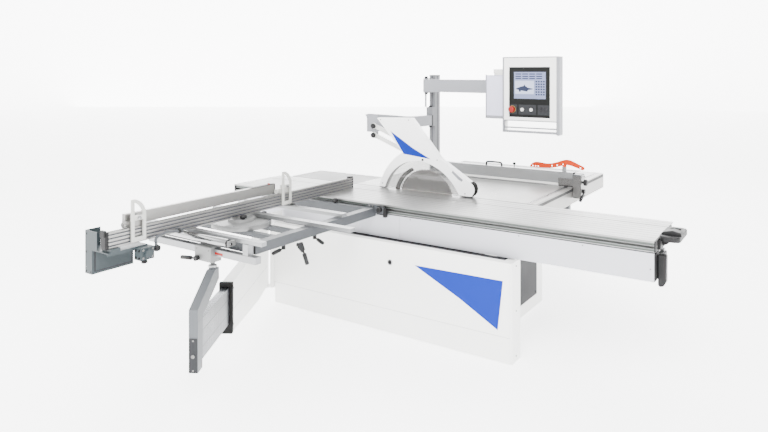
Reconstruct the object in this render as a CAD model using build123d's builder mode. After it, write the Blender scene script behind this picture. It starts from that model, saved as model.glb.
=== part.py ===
"""Sliding-table panel saw: one STEP file per sub-part, millimetres, +Z up.

Origin: on the floor, below the saw blade's plane (y = 0), at the middle of the base (x = 0).
+X runs along the sliding carriage towards the operator, +Y from the carriage to the rip fence.
"""
import os
from math import atan2, cos, degrees, hypot, radians, sin

from build123d import *

os.makedirs("parts", exist_ok=True)

# ---------------------------------------------------------------- driving dimensions
TABLE_Z = 860                      # working surface
CARRIAGE_X = (-1540, 1800)         # sliding carriage
BEAM_X = (-1500, 1800)             # fixed guide beam below it
BEAM_Y = (-520, -250)              # clear of the tilted blade
RUNNERS_Y = (-450, -300)           # near edges of the two roller tracks
CARRIAGE_Y = (-585, -10)
CARRIAGE_Z = 795                   # underside of the carriage
BEAM_Z = (640, 735)                # hollow of the fixed guide beam
BOX_X = (-985, 985)               # front box of the base
BOX_FRONT = -688
CHASSIS_X = (-750, 750)
CHASSIS_Y = (-560, 512)
FLOOR_GAP = 60                     # height of the levelling feet
BEAM_SEAT_Z = 628                  # top of the base under the guide beam
TABLE_SEAT_Z = 760                 # top of the base under the cast table
TABLE_X = (-700, 666)
TABLE_Y = (6, 820)
RIP_TABLE_X = (-580, 664)
REAR_TABLE_Y = 1800
OUTFEED_X = -1425
OUTFEED_Y = 415
RAIL_X = (666, 890)                # rip fence guide rail
RAIL_Y = (6, 1760)

BLADE_R = 250
BLADE_THICK = 4.4
ARBOR = (-10, 790)                 # x, z of the saw arbor
ARBOR_PULLEY_R = 35
MOTOR = (150, 560)                 # x, z of the motor shaft
MOTOR_PULLEY_R = 60
SCORER = (330, 802)                # x, z of the scoring spindle
SCORER_R = 60
BELT_Y = (110, 140)
GUIDE_RODS_X = (-200, 405)

OUTRIGGER_Z = (770, 830)           # grey tube frame of the crosscut table
DISC = (-600, -1410)               # protractor centre
FENCE_X = (-612, -580)
FENCE_Y = (-2390, -205)
FENCE_Z = (862, 950)
FLIP_AXIS = (-600, 1000)           # x, z of the stops' flip pins
STOP_1_Y = -2258
STOP_2_Y = -1052
SUPPORT_RAIL_Z = (732, 772)
SUPPORT_RAIL_Y = (-1845, -1800)

ARM_HINGE = (-1045, -745)          # swing arm's hinge pin
ARM_TOP = (-400, -1832)            # spindle under the outrigger's rail
ARM_BEARING = degrees(atan2(ARM_TOP[1] - ARM_HINGE[1], ARM_TOP[0] - ARM_HINGE[0]))
ARM_REACH = hypot(ARM_TOP[0] - ARM_HINGE[0], ARM_TOP[1] - ARM_HINGE[1])

MAST_X = (-650, -590)
MAST_Y = (1170, 1275)
MAST_TOP = 1775
BOOM_PIN = (-625, 1060)            # vertical pin that carries the panel boom
PANEL_PIN = (533, 935)             # vertical pin at the boom's end
BOOM_Z = (1617, 1738)
BOOM_WIDTH = 60
PANEL_X = (285, 782)
PANEL_Y = (820, 900)
PANEL_Z = (1394, 1938)
PANEL_FACE = ((341, 706), (1421, 1852))      # x, z of the recessed black face
ESTOP = (371, 1488)
SELECTORS = ((462, 1488), (542, 1488))

HOOD_Y = (-40, 15)
LINK_Y = (49, 61)
LINK = 420                         # parallelogram link, pin to pin
LINK_DROP = 20.4                   # degrees below level at rest
LINK_PIVOTS = ((-545, 1278), (-545, 1355))
HOOD_ARM_X = (-640, -575)

RIP_FACE_Y = 850
PIN_FIT = 0.05                     # radial running clearance of pins
GAP = 0.4                          # air between curved faces of different bodies


# ---------------------------------------------------------------- helpers
def block(x, y, z, mode=Mode.ADD):
    """Box between the low and high values of x, y and z, in the part being built."""
    with Locations(((x[0] + x[1]) / 2, (y[0] + y[1]) / 2, (z[0] + z[1]) / 2)):
        Box(x[1] - x[0], y[1] - y[0], z[1] - z[0], mode=mode)


def prism(plane, points, amount, both=False, mode=Mode.ADD):
    """Straight-sided outline on a plane, extruded."""
    with BuildSketch(plane) as outline:
        with BuildLine():
            Polyline(*points, close=True)
        make_face()
    extrude(outline.sketch, amount=amount, both=both, mode=mode)


def rod(plane, centre, radius, amount, mode=Mode.ADD):
    """Round bar or hole on a plane."""
    with BuildSketch(plane) as section:
        with Locations(centre):
            Circle(radius)
    extrude(section.sketch, amount=amount, mode=mode)


def along_x(x):
    """Plane across X at x: sketch axes are +Y and +Z."""
    return Plane(origin=(x, 0, 0), x_dir=(0, 1, 0), z_dir=(1, 0, 0))


def along_y(y):
    """Plane across Y at y: sketch axes are +X and +Z, extruding towards -Y."""
    return Plane(origin=(0, y, 0), x_dir=(1, 0, 0), z_dir=(0, -1, 0))


def upright(origin, bearing):
    """Vertical plane through a floor point, its sketch x axis at a bearing from +X."""
    side = radians(bearing - 90)
    run = radians(bearing)
    return Plane(origin=(*origin, 0), x_dir=(cos(run), sin(run), 0), z_dir=(cos(side), sin(side), 0))


def save(builder, name):
    builder.part.label = name
    export_step(builder.part, f"parts/{name}.step")


# ---------------------------------------------------------------- base
def base():
    wall = 8
    inner_x = (CHASSIS_X[0] + wall, CHASSIS_X[1] - wall)
    with BuildPart() as base_frame:
        block(BOX_X, (BOX_FRONT, CHASSIS_Y[0]), (FLOOR_GAP, 618))
        block((BOX_X[0] + wall, BOX_X[1] - wall), (BOX_FRONT + wall, CHASSIS_Y[0] - wall),
              (FLOOR_GAP + wall, 618 - wall), mode=Mode.SUBTRACT)
        block(CHASSIS_X, CHASSIS_Y, (FLOOR_GAP, TABLE_SEAT_Z))
        block(inner_x, (BOX_FRONT + wall, CHASSIS_Y[1] - wall), (FLOOR_GAP + wall, 610), mode=Mode.SUBTRACT)
        block(inner_x, (-52, CHASSIS_Y[1] - wall), (600, TABLE_SEAT_Z - wall), mode=Mode.SUBTRACT)
        # stepped top: low under the guide beam, high under the cast table, open for the saw unit
        block(CHASSIS_X, (CHASSIS_Y[0], -60), (BEAM_SEAT_Z, TABLE_SEAT_Z), mode=Mode.SUBTRACT)
        block((-600, 600), (-400, 420), (600, TABLE_SEAT_Z), mode=Mode.SUBTRACT)
        # saddles under the guide beam
        for x in (-900, -640, 640, 900):
            block((x - 60, x + 60), (CHASSIS_Y[0] - 2, -300), (600, BEAM_SEAT_Z))
            block((x - 60, x + 60), (BEAM_Y[0] + 1, -300), (BEAM_SEAT_Z, BEAM_Z[0]))
        # hinge plate and lugs of the swing arm
        block((-1000, BOX_X[0]), (-725, -600), (120, 706))
        for z in (130, 690):
            block((ARM_HINGE[0], -990), (ARM_HINGE[1] - 30, ARM_HINGE[1] + 30), (z, z + 14))
            rod(Plane.XY.offset(z), ARM_HINGE, 30, 14)
        rod(Plane.XY.offset(130), ARM_HINGE, 12, 574)
    save(base_frame, "base_frame")

    with BuildPart() as front_panel:
        block((BOX_X[0] + 1, BOX_X[1]), (BOX_FRONT - 6, BOX_FRONT - 2), (165, 627))
        block((BOX_X[0] + 1, BOX_X[1]), (BOX_FRONT - 6, BOX_FRONT + 44), (620, 627))
        top_front = front_panel.edges().filter_by(Axis.X).group_by(Axis.Y)[0].sort_by(Axis.Z)[-1]
        fillet(top_front, 3.5)
        rod(along_y(BOX_FRONT - 2), (102, 491), 12 + PIN_FIT, 4, mode=Mode.SUBTRACT)
    save(front_panel, "front_panel")

    with BuildPart() as panel_lock:
        rod(along_y(BOX_FRONT - 2), (102, 491), 12, 4)
        rod(along_y(BOX_FRONT - 6), (102, 491), 15, 3)
        block((98.5, 105.5), (BOX_FRONT - 9, BOX_FRONT - 6.5), (483, 499), mode=Mode.SUBTRACT)
    save(panel_lock, "panel_lock")

    with BuildPart() as kick_plate:
        block((BOX_X[0] + 7, BOX_X[1]), (BOX_FRONT - 6, BOX_FRONT - 2), (4, 163))
    save(kick_plate, "kick_plate")

    with BuildPart() as body_covers:
        block((BOX_X[1] + 1, BOX_X[1] + 15), (BOX_FRONT - 6, -561), (4, 627))
        fillet(body_covers.edges().filter_by(Axis.Z).group_by(Axis.X)[-1].group_by(Axis.Y)[0], 10)
        for x in (CHASSIS_X[0] - 4, CHASSIS_X[1] + 1):
            outline = [(-558, 5), (505, 5), (505, 755), (-56, 755), (-56, 624), (-558, 624)]
            prism(along_x(x), outline, 3)
        block((CHASSIS_X[0], CHASSIS_X[1]), (CHASSIS_Y[1] + 1, CHASSIS_Y[1] + 4), (5, 755))
    save(body_covers, "body_covers")

    with BuildPart() as legs_and_feet:
        for x, y in [(0, 0)] + [(x, y) for x in (-650, 0, 650) for y in (-630, 460)]:
            rod(Plane.XY, (x, y), 40, 12)
            rod(Plane.XY, (x, y), 14, FLOOR_GAP)
        # two square tube legs under the rip table
        for x in (-480, 560):
            block((x - 30, x + 30), (1670, 1730), (12, 800))
            block((x - 27, x + 27), (1673, 1727), (12, 801), mode=Mode.SUBTRACT)
            block((x - 60, x + 60), (1640, 1760), (0, 12))
    save(legs_and_feet, "legs_and_feet")


# ---------------------------------------------------------------- tables
def tables():
    with BuildPart() as cast_table:
        block(TABLE_X, TABLE_Y, (820, TABLE_Z))
        # ribs of the casting reach down to the base
        for x in (-700, -645, 627):
            block((x, x + 24), (30, 800), (TABLE_SEAT_Z, 820))
        for y in (440, 776):
            block(TABLE_X, (y, y + 24), (TABLE_SEAT_Z, 820))
        # thin land beside the blade leaves room for the arbor and its tilt
        block((-420, 450), (TABLE_Y[0], 260), (800, 845), mode=Mode.SUBTRACT)
        block((-600, 620), (270, 430), (800, 842), mode=Mode.SUBTRACT)
        block((-600, 620), (470, 770), (800, 842), mode=Mode.SUBTRACT)
        edge = cast_table.edges().filter_by(Axis.X).group_by(Axis.Z)[-1].sort_by(Axis.Y)[0]
        chamfer(edge, 2)
    save(cast_table, "cast_table")

    with BuildPart() as extension_tables:
        rear, side = (TABLE_Y[1] + 2, REAR_TABLE_Y), (TABLE_Y[0], OUTFEED_Y)
        for x, y in ((RIP_TABLE_X, rear), ((OUTFEED_X, TABLE_X[0] - 2), side)):
            block(x, y, (800, TABLE_Z))
            block((x[0] + 4, x[1] - 4), (y[0] + 4, y[1] - 4), (799, TABLE_Z - 5), mode=Mode.SUBTRACT)
    save(extension_tables, "extension_tables")

    with BuildPart() as rip_guide_rail:
        # top plate, hollow bar with a fence slot in its outer face, and a skirt below
        section = [(RAIL_X[0], 852), (RAIL_X[0], TABLE_Z), (884, TABLE_Z), (RAIL_X[1], 854),
                   (RAIL_X[1], 850), (872, 850), (872, 832), (RAIL_X[1], 832), (RAIL_X[1], 727),
                   (886, 727), (886, 822), (816, 822), (816, 790), (800, 790), (800, 852)]
        prism(along_y(RAIL_Y[1]), section, RAIL_Y[1] - RAIL_Y[0])
    save(rip_guide_rail, "rip_guide_rail")


# ---------------------------------------------------------------- carriage and its guide
def carriage():
    x0, x1 = CARRIAGE_X
    length = x1 - x0
    with BuildPart() as guide_beam:
        block(BEAM_X, BEAM_Y, BEAM_Z)
        for y in ((-512, -389), (-381, -258)):
            block(BEAM_X, y, (BEAM_Z[0] + 8, BEAM_Z[1] - 8), mode=Mode.SUBTRACT)
        for y in RUNNERS_Y:
            block(BEAM_X, (y, y + 40), (BEAM_Z[1], 752))
    save(guide_beam, "guide_beam")

    with BuildPart() as beam_fascia:
        seam = 113
        for x in ((BEAM_X[0], seam - 1), (seam + 1, BEAM_X[1])):
            block(x, (CARRIAGE_Y[0], CARRIAGE_Y[0] + 4), (629, 790))
            block(x, (CARRIAGE_Y[0], -521), (629, 633))
            block(x, (-525, -521), (633, 700))
    save(beam_fascia, "beam_fascia")

    with BuildPart() as carriage_top:
        front, back = CARRIAGE_Y
        section = [(front, TABLE_Z), (back, TABLE_Z), (back, 857), (back - 8, 852), (-95, 852),
                   (-95, CARRIAGE_Z), (front + 12, CARRIAGE_Z), (front, CARRIAGE_Z + 2), (front, 801),
                   (front + 9, 801), (front + 9, 818), (front + 18, 818), (front + 18, 811),
                   (front + 32, 811), (front + 32, 839), (front + 18, 839), (front + 18, 832),
                   (front + 9, 832), (front + 9, 849), (front, 849)]
        prism(along_x(x0), section, length)
        for y in ((-540, -425), (-415, -300), (-290, -215), (-145, -105)):
            block(CARRIAGE_X, y, (CARRIAGE_Z + 7, TABLE_Z - 9), mode=Mode.SUBTRACT)
        # hold-down slot and fine anti-slip grooves in the top
        block(CARRIAGE_X, (-186, -174), (848, TABLE_Z), mode=Mode.SUBTRACT)
        block(CARRIAGE_X, (-192, -168), (842, 850), mode=Mode.SUBTRACT)
        for y in (-560, -505, -450, -395, -340, -285, -230, -130, -70):
            block(CARRIAGE_X, (y, y + 5), (TABLE_Z - 1.5, TABLE_Z), mode=Mode.SUBTRACT)
        for y in RUNNERS_Y:
            block(CARRIAGE_X, (y, y + 40), (772, CARRIAGE_Z))
    save(carriage_top, "carriage_top")

    with BuildPart() as carriage_ends:
        for x in ((x0 - 8, x0), (x1, x1 + 8)):
            block(x, (CARRIAGE_Y[0], -97), (CARRIAGE_Z, TABLE_Z - 1))
        fillet(carriage_ends.edges().filter_by(Axis.X), 4)
    save(carriage_ends, "carriage_ends")

    with BuildPart() as carriage_handle:
        with BuildSketch(Plane.XY.offset(848)) as loop:
            with Locations((x1 + 64, -372)):
                RectangleRounded(112, 290, 38)
                RectangleRounded(56, 214, 24, mode=Mode.SUBTRACT)
        extrude(loop.sketch, amount=30)
        fillet(carriage_handle.edges().group_by(Axis.Z)[-1], 6)
        block((x1 + 8, x1 + 22), (-520, -225), (800, 850))
    save(carriage_handle, "carriage_handle")

    with BuildPart() as roller_cage:
        roller_r = 9.7
        cage_mid = 150
        for y in RUNNERS_Y:
            block((cage_mid - 950, cage_mid + 950), (y + 4, y + 36), (760, 764))
            for i in range(12):
                x = cage_mid - 880 + 160 * i
                block((x - 12, x + 12), (y + 6, y + 34), (758, 766), mode=Mode.SUBTRACT)
                rod(along_y(y + 36), (x, 762), roller_r, 32)
        for x in (cage_mid - 900, cage_mid, cage_mid + 900):
            block((x - 15, x + 15), (RUNNERS_Y[0] + 36, RUNNERS_Y[1] + 4), (760, 764))
    save(roller_cage, "roller_cage")


# ---------------------------------------------------------------- crosscut table (outrigger)
def outrigger():
    z0, z1 = OUTRIGGER_Z
    near, far = -1790, -598
    tubes = (-1050, -150)
    wall = 4
    with BuildPart() as outrigger_frame:
        for x in tubes:
            block((x, x + 60), (near, far), OUTRIGGER_Z)
            block((x + wall, x + 60 - wall), (near, far), (z0 + wall, z1 - wall), mode=Mode.SUBTRACT)
            block((x + 1, x + 59), (near, near + 3), (z0 + 1, z1 - 1))
        for y in ((-640, far), (near, near + 60)):
            block((tubes[0] + 58, tubes[1] + 2), y, (z0, z1))
            block((tubes[0] + 64, tubes[1] - 4), (y[0] + 4, y[1] - 4), (z0 + 4, z1 - 4), mode=Mode.SUBTRACT)
        for y in (-1520, -1340):
            block((tubes[0] + 58, tubes[1] + 2), (y, y + 40), (z0, 800))
            block((tubes[0] + 64, tubes[1] - 4), (y + 4, y + 36), (z0 + 4, 796), mode=Mode.SUBTRACT)
        # clamp that grips the carriage's side slot
        block((-158, -8), (far, CARRIAGE_Y[0] - 3), (790, 850))
        block((-60, -8), (-615, far), (790, 850))
        rod(along_y(CARRIAGE_Y[0]), (-34, 825), 6 + PIN_FIT, 40, mode=Mode.SUBTRACT)
        # hooks that hang the frame on the carriage's side slot
        for x in tubes:
            block((x, x + 60), (far, CARRIAGE_Y[0] - 3), (z0, z1))
            block((x, x + 60), (CARRIAGE_Y[0] - 4, CARRIAGE_Y[0] + 16), (819, 830))
    save(outrigger_frame, "outrigger_frame")

    with BuildPart() as outrigger_bars:
        for x, y in (((-1000, 217), -1305), ((-1000, -75), -1005), ((-1050, 0), -1835)):
            width = 50 if y > -1800 else 40
            block(x, (y, y + width), (836, TABLE_Z))
            block(x, (y + 3, y + width - 3), (839, TABLE_Z - 3), mode=Mode.SUBTRACT)
            for end in (x[0], x[1] - 3):
                block((end, end + 3), (y + 1, y + width - 1), (837, TABLE_Z - 1))
            # spacers down to the two tubes
            for tube in tubes if y > near else ():
                block((tube + 8, tube + 52), (y + 5, y + width - 5), (z1, 837))
    save(outrigger_bars, "outrigger_bars")

    with BuildPart() as support_rail:
        block((-980, -40), SUPPORT_RAIL_Y, SUPPORT_RAIL_Z)
        block((-980, -40), (SUPPORT_RAIL_Y[0] + 4, SUPPORT_RAIL_Y[1] - 4),
              (SUPPORT_RAIL_Z[0] + 4, SUPPORT_RAIL_Z[1] - 4), mode=Mode.SUBTRACT)
        # hangers carry it from the ends of the two tubes and hold the outer bar
        for x in (-980, -140):
            block((x, x + 40), (SUPPORT_RAIL_Y[0] + 3, near - 1), (SUPPORT_RAIL_Z[1], 835.5))
        for x in (-983, -40):
            block((x, x + 3), SUPPORT_RAIL_Y, SUPPORT_RAIL_Z)
    save(support_rail, "support_rail")

    with BuildPart() as edge_roller:
        rod(along_x(-780), (-1875, 834), 23, 565)
        rod(along_x(-800), (-1875, 834), 8, 605)
    save(edge_roller, "edge_roller")

    with BuildPart() as protractor_disc:
        rod(Plane.XY.offset(800), DISC, 195, 32)
        rod(Plane.XY.offset(812), DISC, 150, 20, mode=Mode.SUBTRACT)
        chamfer(protractor_disc.edges().group_by(Axis.Z)[-1].filter_by(GeomType.CIRCLE), 2)
        # two cheeks carry the edge roller's axle
        for x in (-812, -213):
            block((x, x + 10), (-1892, -1835.5), (818, 850))
            rod(along_x(x), (-1875, 834), 8 + PIN_FIT, 10, mode=Mode.SUBTRACT)
    save(protractor_disc, "protractor_disc")

    with BuildPart() as rail_clamp:
        y0, y1 = SUPPORT_RAIL_Y
        block((-510, -370), (y0 - 27, y1 + 8), (695, 785))
        block((-510, -370), (y0 - 0.5, y1 + 0.5), (SUPPORT_RAIL_Z[0] - 0.5, SUPPORT_RAIL_Z[1] + 0.5),
              mode=Mode.SUBTRACT)
        fillet(rail_clamp.edges().filter_by(Axis.X).group_by(Axis.Y)[0], 6)
        rod(along_y(y0 + 15), (-480, 712), 9 + PIN_FIT, 50, mode=Mode.SUBTRACT)
    save(rail_clamp, "rail_clamp")

    with BuildPart() as rail_clamp_lever:
        y0 = SUPPORT_RAIL_Y[0]
        rod(along_y(y0 + 14), (-480, 712), 9, 46)
        rod(along_y(y0 - 28), (-480, 712), 15, 24)
        rod(Plane(origin=(-490, y0 - 44, 711), z_dir=(-1, 0, -0.1)), (0, 0), 6, 40)
        rod(Plane(origin=(-522, y0 - 44, 708), z_dir=(-1, 0, -0.1)), (0, 0), 12, 84)
    save(rail_clamp_lever, "rail_clamp_lever")

    with BuildPart() as frame_lever:
        # cast wedge bracket with a long black grip, under the right-hand tube
        rod(along_x(-90 + GAP), (-1436, 750), 12, 26)
        prism(along_x(-74), [(-1455, 765), (-1418, 765), (-1395, 715), (-1418, 700), (-1452, 735)], 12)
        rod(Plane(origin=(-68, -1408, 712), z_dir=(0, 0.42, -1)), (0, 0), 6, 30)
        rod(Plane(origin=(-68, -1397, 686), z_dir=(0, 0.42, -1)), (0, 0), 13, 72)
    save(frame_lever, "frame_lever")

    with BuildPart() as clamp_knob:
        rod(along_y(-615 - GAP), (-34, 825), 19, 26)
        fillet(clamp_knob.edges().group_by(Axis.Y)[0], 4)
        rod(along_y(CARRIAGE_Y[0] + 12), (-34, 825), 6, 44)
    save(clamp_knob, "clamp_knob")


# ---------------------------------------------------------------- crosscut fence
def stop_plate(name, y0):
    """Flip stop: windowed D-shaped casting, its ear on the flip pin."""
    axis_x, axis_z = FLIP_AXIS
    mid = y0 + 46
    with BuildPart() as plate:
        with BuildSketch(along_x(-576)) as outline:
            with BuildLine():
                Polyline((y0, 1105), (y0, 871), (y0 + 92, 871), (y0 + 92, 1020))
                ThreePointArc((y0 + 92, 1020), (y0 + 72, 1072), (y0 + 25, 1105))
                Line((y0 + 25, 1105), (y0, 1105))
            make_face()
            with BuildLine():
                Polyline((y0 + 18, 1086), (y0 + 18, 895), (y0 + 74, 895), (y0 + 74, 985))
                Line((y0 + 74, 985), (y0 + 74, 1016))
                ThreePointArc((y0 + 74, 1016), (y0 + 58, 1057), (y0 + 24, 1086))
                Line((y0 + 24, 1086), (y0 + 18, 1086))
            make_face(mode=Mode.SUBTRACT)
            with Locations((mid, axis_z)):
                Rectangle(80, 24)
        extrude(outline.sketch, amount=12)
        block((axis_x, -576), (mid - 12, mid + 12), (axis_z - 9, axis_z + 9))
        rod(along_y(mid + 12), (axis_x, axis_z), 9, 24)
        rod(along_y(mid + 12), (axis_x, axis_z), 5 + PIN_FIT, 24, mode=Mode.SUBTRACT)
    save(plate, name)


def stop_saddle(mid):
    """Saddle on top of the fence with two lugs and the flip pin, in the part being built."""
    axis_x, axis_z = FLIP_AXIS
    block((-618, -586), (mid - 48, mid + 48), (FENCE_Z[1] + GAP, 982))
    for y in (mid - 26, mid + 13):
        block((axis_x - 10, axis_x + 10), (y, y + 13), (980, axis_z + 10))
    rod(along_y(mid + 26), FLIP_AXIS, 5, 52)
    rod(along_y(mid - 48), (-602, 968), 6, 14)
    rod(along_y(mid - 62), (-602, 968), 15, 16)


def fence():
    x0, x1 = FENCE_X
    z0, z1 = FENCE_Z
    with BuildPart() as fence_profile:
        block(FENCE_X, FENCE_Y, FENCE_Z)
        for z in (868, 912):
            block((x0 + 5, x1 - 12), FENCE_Y, (z, z + 32), mode=Mode.SUBTRACT)
        for z in (874, 894, 914, 934):
            block((x1 - 8, x1), FENCE_Y, (z, z + 6), mode=Mode.SUBTRACT)
        block((-601, -591), FENCE_Y, (z1 - 4, z1), mode=Mode.SUBTRACT)
    save(fence_profile, "fence_profile")

    with BuildPart() as fence_hub:
        rod(Plane.XY.offset(812 + GAP), DISC, 150 - GAP, 18)
        fillet(fence_hub.edges().group_by(Axis.Z)[-1], 5)
        rod(Plane.XY.offset(830), DISC, 88, 20)
        block((x0 - 22, x1 + 22), (DISC[1] - 55, DISC[1] + 55), (848, z0 - 0.2))
    save(fence_hub, "fence_hub")

    with BuildPart() as end_box:
        # folded sheet-steel drive housing under the outer end, with its gear block
        outer_x, outer_y, outer_z = (-770, -705), (-2405, -2150), (709, 845)
        block(outer_x, outer_y, outer_z)
        block((outer_x[0] + 3, outer_x[1] - 3), (outer_y[0] + 3, outer_y[1] + 3),
              (outer_z[0] + 3, outer_z[1] + 1), mode=Mode.SUBTRACT)
        block((outer_x[0], -660), (outer_y[0], outer_y[0] + 3), (845, 945))
        block((outer_x[0], outer_x[0] + 3), (outer_y[0], outer_y[0] + 90), (845, 945))
        block((outer_x[0], -560), (outer_y[0], -2160), (840, 845))
        block((-563, -560), (outer_y[0], -2160), (828, 845))
        block((-640, -560), (-2388, -2330), (845, z0 - 0.2))
        block((-575, -515), (-2235, -2150), (772, 839.5))
        block((-575, -560), (-2235, -2180), (838, 842))
        rod(along_x(-515), (-2192, 806), 22, 16)
    save(end_box, "end_box")

    with BuildPart() as bent_handle:
        # bent tube in front of the fence's face, from its foot on the face to a hand knob
        with BuildLine() as path:
            FilletPolyline((-548, -2108, 815), (-548, -2122, 872), (-548, -2040, 890), (-548, -1952, 876),
                           radius=(26, 60))
        with BuildSketch(Plane(origin=path.line @ 0, z_dir=path.line % 0)):
            Circle(8)
        sweep(path=path.line)
        block((-579.5, -538), (-1958, -1934), (865, 889))
        rod(Plane.XY.offset(798), (-548, -2108), 17, 20)
    save(bent_handle, "bent_handle")

    mid_1, mid_2 = STOP_1_Y + 46, STOP_2_Y + 46
    with BuildPart() as extension_bar:
        block((-650, -622), (-2260, -1075), (955, 1020))
        block((-646, -626), (-2260, -1075), (960, 1015), mode=Mode.SUBTRACT)
        block((-650, -622), (-2260, -2256), (955, 1020))
        stop_saddle(mid_1)
        block((-624, -616), (mid_1 - 48, mid_1 + 48), (956, 982))
    save(extension_bar, "extension_bar")

    with BuildPart() as stop_carrier:
        stop_saddle(mid_2)
    save(stop_carrier, "stop_carrier")
    stop_plate("stop_plate_1", STOP_1_Y)
    stop_plate("stop_plate_2", STOP_2_Y)


# ---------------------------------------------------------------- telescopic swing arm
def swing_arm():
    plane = upright(ARM_HINGE, ARM_BEARING)
    tip = 980
    with BuildPart() as outer_arm:
        with BuildSketch(plane) as side:
            with BuildLine():
                Polyline((0, 672), (0, 148), (300, 130), (560, 140), (tip, 165))
                Line((tip, 165), (tip, 475))
                Line((tip, 475), (520, 500))
                ThreePointArc((520, 500), (270, 560), (90, 672))
                Line((90, 672), (0, 672))
            make_face()
        extrude(side.sketch, amount=35, both=True)
        with BuildSketch(plane) as hollow:
            with BuildLine():
                Polyline((120, 226), (tip + 1, 226), (tip + 1, 459), (120, 459), close=True)
            make_face()
        extrude(hollow.sketch, amount=28, both=True, mode=Mode.SUBTRACT)
        rod(Plane.XY.offset(148), ARM_HINGE, 35, 524)
        rod(Plane.XY.offset(100), ARM_HINGE, 12 + PIN_FIT, 600, mode=Mode.SUBTRACT)
    save(outer_arm, "outer_arm")

    with BuildPart() as inner_arm:
        prism(plane, [(450, 230), (1515, 230), (1515, 455), (450, 455)], 25, both=True)
        prism(plane, [(449, 236), (1516, 236), (1516, 449), (449, 449)], 20, both=True, mode=Mode.SUBTRACT)
    save(inner_arm, "inner_arm")

    with BuildPart() as arm_post:
        # cranked tube: upright at the arm's end, leaning back to the spindle
        outline = [(1516, 185), (1591, 185), (1591, 525), (1300, 650), (1221, 650), (1221, 580), (1516, 462)]
        prism(plane, outline, 25, both=True)
        rod(Plane.XY.offset(640), ARM_TOP, 12, 50)
        with BuildSketch(Plane.XY.offset(650)):
            with Locations(ARM_TOP):
                RegularPolygon(22, 6)
        extrude(amount=14)
    save(arm_post, "arm_post")


# ---------------------------------------------------------------- mast, hood and control panel
def mast_and_boom():
    with BuildPart() as mast:
        block((-730, -510), (1110, 1340), (0, 12))
        block(MAST_X, MAST_Y, (12, MAST_TOP))
        block((MAST_X[0] + 5, MAST_X[1] - 5), (MAST_Y[0] + 5, MAST_Y[1] - 5), (12, MAST_TOP - 6),
              mode=Mode.SUBTRACT)
        block((MAST_X[1], RIP_TABLE_X[0]), (1180, 1265), (805, 845))
        # bracket of the hood arm, and the boom's two lugs with their pin
        block((-645, -578), (1100.3, MAST_Y[0]), (1280, 1464))
        for z in (BOOM_Z[0] - 11, BOOM_Z[1] + 1):
            block((BOOM_PIN[0] - 25, BOOM_PIN[0] + 25), (BOOM_PIN[1], MAST_Y[0] + 2), (z, z + 10))
            rod(Plane.XY.offset(z), BOOM_PIN, 25, 10)
        rod(Plane.XY.offset(BOOM_Z[0] - 11), BOOM_PIN, 10, BOOM_Z[1] - BOOM_Z[0] + 22)
    save(mast, "mast")

    bearing = degrees(atan2(PANEL_PIN[1] - BOOM_PIN[1], PANEL_PIN[0] - BOOM_PIN[0]))
    reach = hypot(PANEL_PIN[0] - BOOM_PIN[0], PANEL_PIN[1] - BOOM_PIN[1])
    plane = upright(BOOM_PIN, bearing)
    half = BOOM_WIDTH / 2
    with BuildPart() as boom:
        z0, z1 = BOOM_Z
        prism(plane, [(0, z0), (reach, z0), (reach, z1), (0, z1)], half, both=True)
        for spot in (BOOM_PIN, PANEL_PIN):
            rod(Plane.XY.offset(z0), spot, half, z1 - z0)
        prism(plane, [(60, z0 + 5), (reach - 60, z0 + 5), (reach - 60, z1 - 5), (60, z1 - 5)], half - 5,
              both=True, mode=Mode.SUBTRACT)
        for spot in (BOOM_PIN, PANEL_PIN):
            rod(Plane.XY.offset(z0), spot, 10 + PIN_FIT, z1 - z0, mode=Mode.SUBTRACT)
    save(boom, "boom")

    face_x, face_z = PANEL_FACE
    front, back = PANEL_Y
    with BuildPart() as panel_box:
        block(PANEL_X, PANEL_Y, PANEL_Z)
        fillet(panel_box.edges().filter_by(Axis.Y), 12)
        block((PANEL_X[0] + 4, PANEL_X[1] - 4), (front + 34, back - 4), (PANEL_Z[0] + 4, PANEL_Z[1] - 4),
              mode=Mode.SUBTRACT)
        block(face_x, (front, front + 6), face_z, mode=Mode.SUBTRACT)
        # grab frame below the box
        for x in (PANEL_X[0] + 12, PANEL_X[1] - 30):
            block((x, x + 18), (front + 20, front + 38), (1287, PANEL_Z[0] + 4))
        block((PANEL_X[0] + 12, PANEL_X[1] - 12), (front + 20, front + 38), (1287, 1305))
        for z in (BOOM_Z[0] - 16, BOOM_Z[1] + 2):
            block((PANEL_PIN[0] - 26, PANEL_PIN[0] + 26), (back - 1, PANEL_PIN[1]), (z, z + 14))
            rod(Plane.XY.offset(z), PANEL_PIN, 26, 14)
        rod(Plane.XY.offset(BOOM_Z[0] - 16), PANEL_PIN, 10, BOOM_Z[1] - BOOM_Z[0] + 32)
        for spot in (ESTOP, *SELECTORS):
            rod(along_y(front + 33), spot, 9 + PIN_FIT, 33, mode=Mode.SUBTRACT)
    save(panel_box, "panel_box")

    with BuildPart() as estop_button:
        rod(along_y(front + 20), ESTOP, 9, 36)
        rod(along_y(front - 8), ESTOP, 28, 22)
        fillet(estop_button.edges().group_by(Axis.Y)[0], 8)
    save(estop_button, "estop_button")

    for i, (x, z) in enumerate(SELECTORS, start=1):
        with BuildPart() as selector:
            rod(along_y(front + 20), (x, z), 9, 16)
            rod(along_y(front + 5.5), (x, z), 14.5, 11)
            block((x - 4, x + 4), (front - 16, front - 5), (z - 14, z + 14))
        save(selector, f"selector_{i}")


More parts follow.
